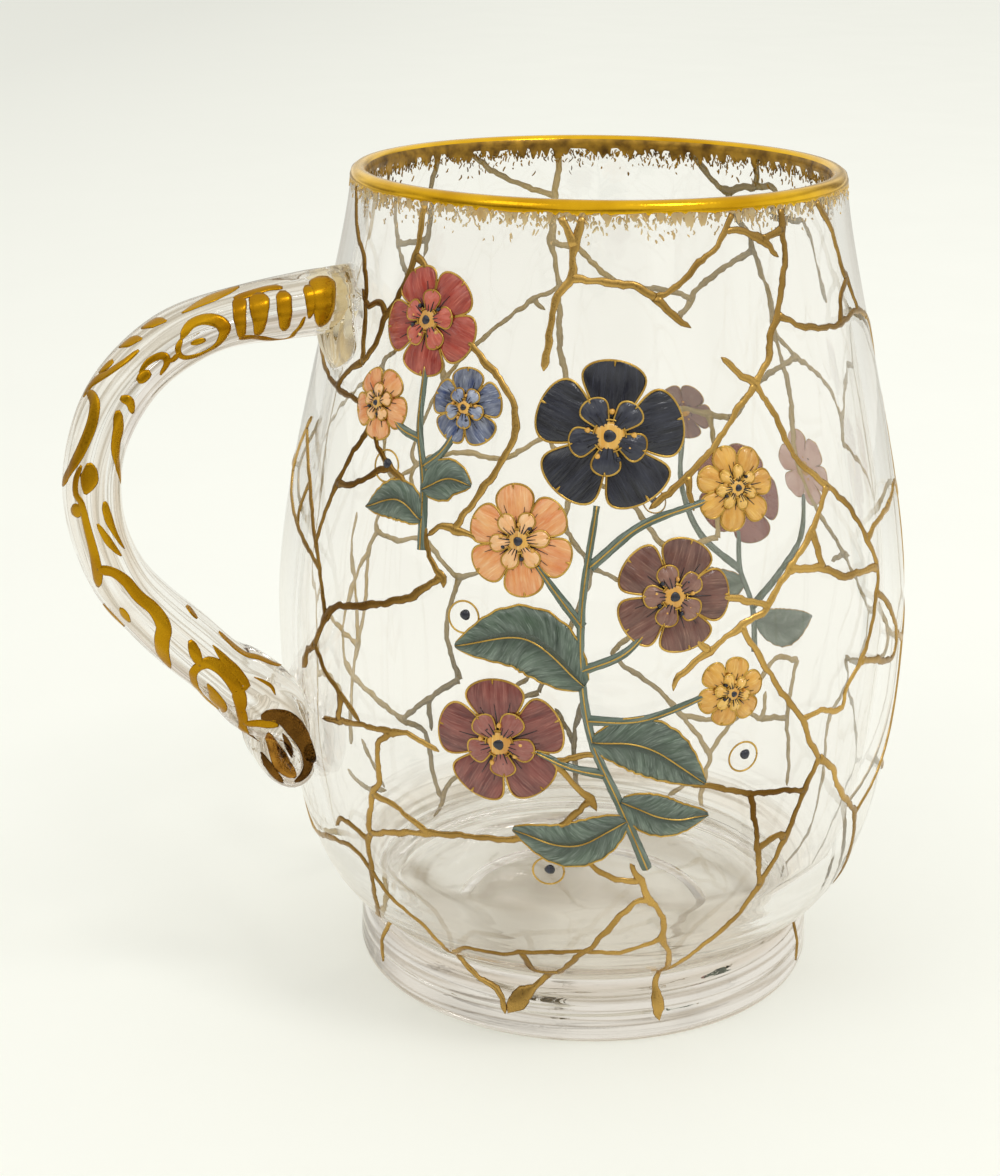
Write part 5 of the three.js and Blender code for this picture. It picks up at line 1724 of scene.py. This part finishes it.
def petal(gathered, place, turn, radius, spread, level, rng, paint):
    """One rounded petal within its own wedge, with its brush map, dark strokes and a gilt edge."""
    columns = PETAL_COLUMNS
    along = PETAL_ROOT + (1 - PETAL_ROOT) * np.sin(np.linspace(0.0, math.pi / 2, PETAL_ROWS))[:, None]
    across = np.linspace(-1.0, 1.0, columns)[None]
    cap = 0.82 * np.sqrt(np.clip(1 - along ** 5, 0.0004, 1.0))
    half = spread * radius * (along ** -6.0 + cap ** -6.0) ** (-1 / 6)
    waver = 1 + 0.03 * np.sin(7 * along + rng.uniform(0, 6))
    notch = 1 - 0.07 * smooth_step(2 * along - 1) * np.exp(-((across / 0.24) ** 2))
    out = radius * along * notch * rng.uniform(0.96, 1.03)
    side = half * waver * across + 0.03 * radius * rng.uniform(-1, 1) * along ** 2
    bowl = 0.2 + 0.42 * np.sin(np.pi * along ** 1.4) * (1 - 0.6 * across ** 2)
    fold = 0.07 * np.cos(8 * across + rng.uniform(0, 6)) * along
    rise = level + (bowl + fold) * (1 - 0.7 * np.abs(across) ** 4) * (1 - 0.6 * along ** 9)
    angle = math.radians(turn)
    x = out * math.cos(angle) - side * math.sin(angle)
    y = out * math.sin(angle) + side * math.cos(angle)
    top = place(x, y, rise)
    under = place(x, y, np.full(x.shape, SUNK))
    across_map = side * BRUSH_STEP + BRUSH_SHIFT * rng.random()
    along_map = np.broadcast_to((along - PETAL_ROOT) / (1 - PETAL_ROOT), x.shape)
    add_sheet(gathered, top, under, np.stack([across_map, along_map], axis=-1), paint)
    edge = np.concatenate([
        np.stack([x[:, 0], y[:, 0]], axis=1),
        np.stack([x[-1, 1:-1], y[-1, 1:-1]], axis=1),
        np.stack([x[::-1, -1], y[::-1, -1]], axis=1),
    ])
    lifts = np.concatenate([rise[:, 0], rise[-1, 1:-1], rise[::-1, -1]])
    fine_line(gathered, place, even_scale, edge, OUTLINE_WIDTH, lifts, GOLD_LINE)
    for column in (columns // 4, columns // 2, columns - 1 - columns // 4):
        first, last = 1, rng.randint(5, 8)
        route = np.stack([x[first:last, column], y[first:last, column]], axis=1)
        taper = np.linspace(0.3, 0.08, last - first)
        fine_line(gathered, place, even_scale, route, taper, rise[first:last, column] - 0.02, DARK)


def dome(gathered, place, centre, radius, low, high, material, rng):
    """A small raised drop of enamel or gold."""
    rings, sides = 5, 14
    share = np.linspace(1.0, 0.12, rings)[:, None]
    angle = round_angles(sides)[None]
    wobble = 1 + 0.06 * np.sin(3 * angle + rng.uniform(0, 6))
    x = centre[0] + radius * share * wobble * np.cos(angle)
    y = centre[1] + radius * share * wobble * np.sin(angle)
    lift = low + (high - low) * np.sqrt(np.clip(1 - share ** 2, 0, 1)) + 0 * angle
    base = place(x[:1], y[:1], np.full((1, sides), SUNK))
    vertices = np.concatenate([base, place(x, y, lift)], axis=0).reshape(-1, 3)
    strokes = np.stack([x * 0.1 + BRUSH_SHIFT * rng.random(), 0.8 + 0 * x], axis=-1)
    strokes = np.concatenate([strokes[:1], strokes], axis=0).reshape(-1, 2)
    gathered.add(vertices, ring_faces(rings + 1, sides), material, strokes)


def ringed_berry(gathered, place, radius, rng):
    """A thin gilt ring with a dark eye."""
    fine_line(gathered, place, even_scale, circle(radius, 30), 0.3, 0.0, GOLD_LINE)
    dome(gathered, place, (0.1 * radius, 0.15 * radius), 0.34 * radius, 0.02, 0.5, DARK, rng)


def build_blooms(paints, line_gold):
    """Each flower head: two layers of petals round a dotted heart."""
    rng = random.Random(19)
    for name, bloom in BLOOMS.items():
        place = local_place(bloom["at"])
        gathered = Gathered()
        radius, petals = bloom["radius"], bloom["petals"]
        spread = 0.94 * math.tan(math.pi / petals)
        for k in range(petals):
            petal(gathered, place, bloom["turn"] + 360.0 * k / petals, radius, spread, 0.05, rng, FACE)
        for k in range(petals):
            turn = bloom["turn"] + 360.0 * (k + 0.5) / petals
            petal(gathered, place, turn, radius * 0.53, 0.8 * spread, 0.5, rng, PALE)
        add_heart(gathered, place, radius, rng)
        face, back, pale = paints[bloom["enamel"]]
        shared = [line_gold, paints["dark"][0], paints["ochre"][0]]
        piece = gathered.piece(f"{name}_painted", [face, back, *shared, pale])
        settle(piece, f"enamel_{bloom['enamel']}", name)


def add_heart(gathered, place, radius, rng):
    """The dotted heart of a flower: an ochre boss with a dark eye, set about with drops."""
    boss = 0.2 * radius
    dome(gathered, place, (0.0, 0.0), boss, 0.75, 1.1, OCHRE, rng)
    dome(gathered, place, (0.0, 0.0), 0.45 * boss, 1.0, 1.3, DARK, rng)
    fine_line(gathered, place, even_scale, circle(1.08 * boss, 26), 0.26, 0.78, GOLD_LINE)
    for k in range(HEART_DROPS):
        turn = 2 * math.pi * (k + 0.3 * rng.random()) / HEART_DROPS
        away = radius * rng.uniform(0.29, 0.34)
        centre = (away * math.cos(turn), away * math.sin(turn))
        dome(gathered, place, centre, 0.03 * radius + 0.1, 0.75, 1.1, DARK if k % 2 else OCHRE, rng)


def leaf(gathered, route, width, rng):
    """A long leaf with a notched edge, a midrib and brush strokes from rib to edge."""
    middle = even_route(route, 0.6)
    gone = glass_distance(middle)
    share = gone / gone[-1]
    su, sv = glass_scale(middle[:, 1])
    way = np.gradient(middle, axis=0) * np.stack([su, sv], axis=1)
    way /= np.linalg.norm(way, axis=1)[:, None]
    half = width / 2 * np.sin(np.pi * np.clip(0.03 + 0.95 * share, 0, 1) ** 0.85) ** 0.85 + 0.06
    teeth = 1 + 0.07 * (np.abs((share * 9) % 1.0 - 0.5) * 2 - 0.5)
    columns = LEAF_COLUMNS
    across = np.linspace(-1.0, 1.0, columns)[None]
    aside = across * (half * teeth)[:, None]
    u = middle[:, :1] + way[:, 1:] * aside / su[:, None]
    v = middle[:, 1:] - way[:, :1] * aside / sv[:, None]
    rib = np.exp(-((across / 0.14) ** 2))
    rise = 0.12 + 0.5 * (1 - across ** 2) ** 0.7 * (1 - 0.35 * rib)
    veins = 0.06 * np.sin(20 * share[:, None] + 5 * np.abs(across)) * (1 - np.abs(across))
    top = on_glass(u, v, rise + veins)
    under = on_glass(u, v, np.full(u.shape, SUNK))
    shift = rng.random() * BRUSH_SHIFT
    across_map = gone[:, None] * BRUSH_STEP - 0.4 * np.abs(across) + (across > 0) * 7 + shift
    along_map = np.broadcast_to(np.abs(across), u.shape)
    add_sheet(gathered, top, under, np.stack([across_map, along_map], axis=-1), FACE)
    for column, thick in ((0, 1.0), (columns - 1, 1.0), (columns // 2, 0.8)):
        line = np.stack([u[:, column], v[:, column]], axis=1)
        taper = thick * OUTLINE_WIDTH * np.sqrt(np.clip(np.minimum(share, 1 - share) / 0.06, 0.1, 1.0))
        fine_line(gathered, on_glass, glass_scale, line, taper, (rise + veins)[:, column], GOLD_LINE)


def stem(gathered, route, rng):
    """A slender stem that tapers towards its flower."""
    middle = even_route(route, 0.7)
    gone = glass_distance(middle)
    width = 1.5 - 0.6 * gone / gone[-1] + 0.1 * slow_noise(rng, gone, 6.0)
    vertices, faces, underside = painted_line(on_glass, glass_scale, middle, width, STEM_SECTION)
    across = np.tile(STEM_SECTION[:, 0] * 0.1, len(middle)) + np.repeat(gone * 0.02, len(STEM_SECTION))
    gathered.add(vertices, faces, underside, np.stack([across, np.full_like(across, 0.7)], axis=1))
    fine_line(gathered, on_glass, glass_scale, middle, 0.26, 0.36, GOLD_LINE)


def build_foliage(paints, line_gold):
    """Stems, leaves and berries of each spray."""
    rng = random.Random(23)
    for label, parts in SPRAYS.items():
        gathered = Gathered()
        for route in parts["stems"]:
            stem(gathered, route, rng)
        for shape in parts["leaves"]:
            leaf(gathered, shape["route"], shape["width"], rng)
        for at in parts["berries"]:
            ringed_berry(gathered, local_place(at), BERRY_RADIUS, rng)
        face, back, _ = paints["green"]
        piece = gathered.piece(f"{label}_leaves_painted", [face, back, line_gold, paints["dark"][0]])
        settle(piece, "enamel_green", f"{label}_foliage")


def mix_paints(brush):
    """Every enamel as it is seen from outside, and as it shows through the glass from behind."""
    paints = {}
    for label, (body, shade, light) in ENAMELS.items():
        face = enamel(brush, f"{label} enamel", body, shade, light)
        pale = tuple(0.6 * b + 0.4 * g for b, g in zip(body, light))
        inner = enamel(brush, f"{label} inner enamel", pale, body, light)
        behind = enamel(brush, f"{label} enamel from behind", pale, body, light, 4.0, 0.4)
        paints[label] = (face, behind, inner)
    return paints


# What a user of the add-on would change


def tint(name, description, default):
    """A colour that a user may change."""
    return FloatVectorProperty(name=name, description=description, subtype="COLOR", default=default)


def amount(name, description, default):
    """A share from 0 to 1 that a user may change."""
    return FloatProperty(name=name, description=description, subtype="FACTOR", default=default)


class MugLook(bpy.types.PropertyGroup):
    """Colours and amounts of the glass, the gold and the stage."""

    glass_tint: tint("Glass tint", "Colour of the clear glass", (0.985, 0.978, 0.972))
    # Painted shade: the colour that stands in for the shade of glass seen edge on, and how far along the
    # surface it begins.
    edge_shade_tint: tint("Edge tint", "Colour where glass is seen edge on", (0.86, 0.79, 0.7))
    edge_shade_start: amount("Edge start", "How far along the surface the darker edge begins", 0.7)
    # Partly painted shade: thin lines that are partly the glass's drawn streaks, and broad haze, laid into
    # its colour.
    line_shade_tint: tint("Line tint", "Colour of thin drawn lines", (0.36, 0.28, 0.18))
    line_shade_share: amount("Lines", "How strong the drawn lines are", 0.75)
    haze_shade_tint: tint("Haze tint", "Colour of broad drawn haze", (0.68, 0.56, 0.43))
    haze_shade_share: amount("Haze", "How strong the drawn haze is", 0.7)
    # Painted shade in the glass where the handle meets the wall.
    joint_shade_tint: tint("Joint tint", "Glass where the handle is drawn onto the wall", (0.64, 0.5, 0.27))
    depth_tint: tint("Depth tint", "What thick glass keeps of light", (0.52, 0.38, 0.26))
    depth_strength: FloatProperty(
        name="Depth strength", description="How fast thick glass darkens", default=5.0
    )
    shadow_tint: tint("Shadow tint", "Light that one wall lets through", (0.945, 0.942, 0.93))
    glass_bending: FloatProperty(name="Index", description="Index of refraction of the glass", default=1.5)
    vein_gold: tint("Vein gold", "Gold of the veins", (0.58, 0.36, 0.1))
    vein_dark: tint("Vein gold, thin", "Gold where it is thin", (0.15, 0.072, 0.012))
    scroll_gold: tint("Scroll gold", "Gold of the handle's scrolls", (0.5, 0.26, 0.007))
    scroll_dark: tint("Scroll gold, thin", "Scroll gold where it is thin", (0.34, 0.15, 0.003))
    # Partly painted shade: the roll's band is gold painted dark brown for the shade it lies in as seen
    # through the glass; its second colour shows in random patches where the gold is thin.
    roll_shade_gold: tint("Roll gold", "Gold on the rolled end", (0.17, 0.075, 0.012))
    roll_shade_gold_thin: tint("Roll gold, thin", "Gold where the roll turns away", (0.07, 0.03, 0.006))
    rim_gold: tint("Rim gold", "Burnished gold of the rim", (0.88, 0.52, 0.02))
    rim_gold_dark: tint("Rim gold, worn", "Rim gold where it is worn", (0.52, 0.26, 0.005))
    inner_gold: tint("Inner gold", "Gold inside the rim", (0.42, 0.23, 0.02))
    inner_dark: tint("Inner gold, worn", "Inner gold where it is worn", (0.1, 0.045, 0.002))
    # Partly painted reflection: the flecks' pale gold stands in for the light they mirror.
    fleck_gold_and_sheen: tint("Fleck gold", "Gold of the loose flecks", (0.85, 0.62, 0.25))
    under_gold: tint("Gold from behind", "The gold seen through the glass", (0.6, 0.45, 0.2))
    under_dark: tint("Gold from behind, thin", "Its darker parts", (0.15, 0.11, 0.035))
    gold_grain: FloatProperty(
        name="Gold grain", description="Scale of the gold's fine grain", default=2600.0
    )
    floor_colour: tint("Floor", "Colour of the floor", (0.965, 0.97, 0.885))
    # Painted shade on the floor, far to the left.
    painted_left_shade: amount("Left fading", "How much darker the floor is far left", 0.1)
    floor_half: FloatProperty(
        name="Floor half width", description="Half of the floor's side", unit="LENGTH", default=6.0
    )
    floor_fading: amount("Floor fading", "How dark gold shows the far floor", 0.75)
    backdrop_colour: tint("Backdrop", "Colour behind the floor", (0.95, 0.96, 0.88))
    room_light: tint("Room light", "Soft light from all round", (0.88, 0.88, 0.88))
    room_dark: tint("Room dark", "Darker bands that gold shows", (0.3, 0.28, 0.25))
    room_soft: tint("Room soft", "Mild bands that glass shows", (0.72, 0.68, 0.63))


def shared_group(name, make):
    """The node group of that name, made once."""
    return bpy.data.node_groups.get(name) or make()


class MUG_OT_stage(bpy.types.Operator):
    """Sets the camera, the floor, the lamps and the white room"""

    bl_idname = "gilt_mug.stage"
    bl_label = "Stage"

    def execute(self, context):
        look = context.scene.mug_look
        add_camera()
        add_floor(look)
        add_surroundings(look)
        add_lamp("key lamp", (0.45, -0.85, 1.7), 0.4, 6.5)
        add_lamp("side lamp", (-0.9, -0.3, 1.1), 0.5, 1.0)
        context.scene.view_settings.view_transform = "Standard"
        return {"FINISHED"}


class MUG_OT_glass(bpy.types.Operator):
    """Blows the body, presses its foot and draws the handle onto it"""

    bl_idname = "gilt_mug.glass"
    bl_label = "Glass body and handle"

    def execute(self, context):
        build_glass(context.scene.mug_look, shared_group("Blown Ripples", blown_ripple_group))
        return {"FINISHED"}


class MUG_OT_rim(bpy.types.Operator):
    """Gilds the rim"""

    bl_idname = "gilt_mug.rim"
    bl_label = "Rim gilding"

    def execute(self, context):
        build_rim_gold(context.scene.mug_look, shared_group("Gilding Wear", gilding_group))
        return {"FINISHED"}


class MUG_OT_veins(bpy.types.Operator):
    """Draws the gilt veins over the body"""

    bl_idname = "gilt_mug.veins"
    bl_label = "Gilt veins"

    def execute(self, context):
        build_veins(context.scene.mug_look, shared_group("Gilding Wear", gilding_group))
        return {"FINISHED"}


class MUG_OT_scrolls(bpy.types.Operator):
    """Draws the gilt scrolls on the handle"""

    bl_idname = "gilt_mug.scrolls"
    bl_label = "Handle scrolls"

    def execute(self, context):
        glass = bpy.data.objects.get("blown_glass")
        if glass is None:
            raise RuntimeError("make the glass before its scrolls")
        build_scrolls(context.scene.mug_look, shared_group("Gilding Wear", gilding_group), glass)
        return {"FINISHED"}


class MUG_OT_sprays(bpy.types.Operator):
    """Paints the flower sprays in enamel"""

    bl_idname = "gilt_mug.sprays"
    bl_label = "Enamelled sprays"

    def execute(self, context):
        look = context.scene.mug_look
        wear = shared_group("Gilding Wear", gilding_group)
        paints = mix_paints(shared_group("Enamel Brush", brush_group))
        line_gold = fired_gold(look, wear, "fine line gold", FINE_LINE_GOLD, 0.3, 200.0)
        build_foliage(paints, line_gold)
        build_blooms(paints, line_gold)
        return {"FINISHED"}


OPERATORS = (MUG_OT_stage, MUG_OT_glass, MUG_OT_rim, MUG_OT_veins, MUG_OT_scrolls, MUG_OT_sprays)


class VIEW3D_PT_gilt_mug(bpy.types.Panel):
    """Lists the steps that make the mug"""

    bl_label = "Gilt Glass Mug"
    bl_idname = "VIEW3D_PT_gilt_mug"
    bl_space_type = "VIEW_3D"
    bl_region_type = "UI"
    bl_category = "Mug"

    def draw(self, context):
        column = self.layout.column()
        for operator in OPERATORS:
            column.operator(operator.bl_idname)
        look = context.scene.mug_look
        for label in MugLook.__annotations__:
            column.prop(look, label)


CLASSES = (MugLook, *OPERATORS, VIEW3D_PT_gilt_mug)


def register():
    """Adds the classes and the scene's settings."""
    for kind in CLASSES:
        bpy.utils.register_class(kind)
    bpy.types.Scene.mug_look = PointerProperty(type=MugLook)


def unregister():
    """Removes the scene's settings and the classes."""
    del bpy.types.Scene.mug_look
    for kind in reversed(CLASSES):
        bpy.utils.unregister_class(kind)


def main():
    """Makes the whole mug."""
    register()
    for operator in OPERATORS:
        group, name = operator.bl_idname.split(".")
        getattr(getattr(bpy.ops, group), name)()


if __name__ == "__main__":
    main()
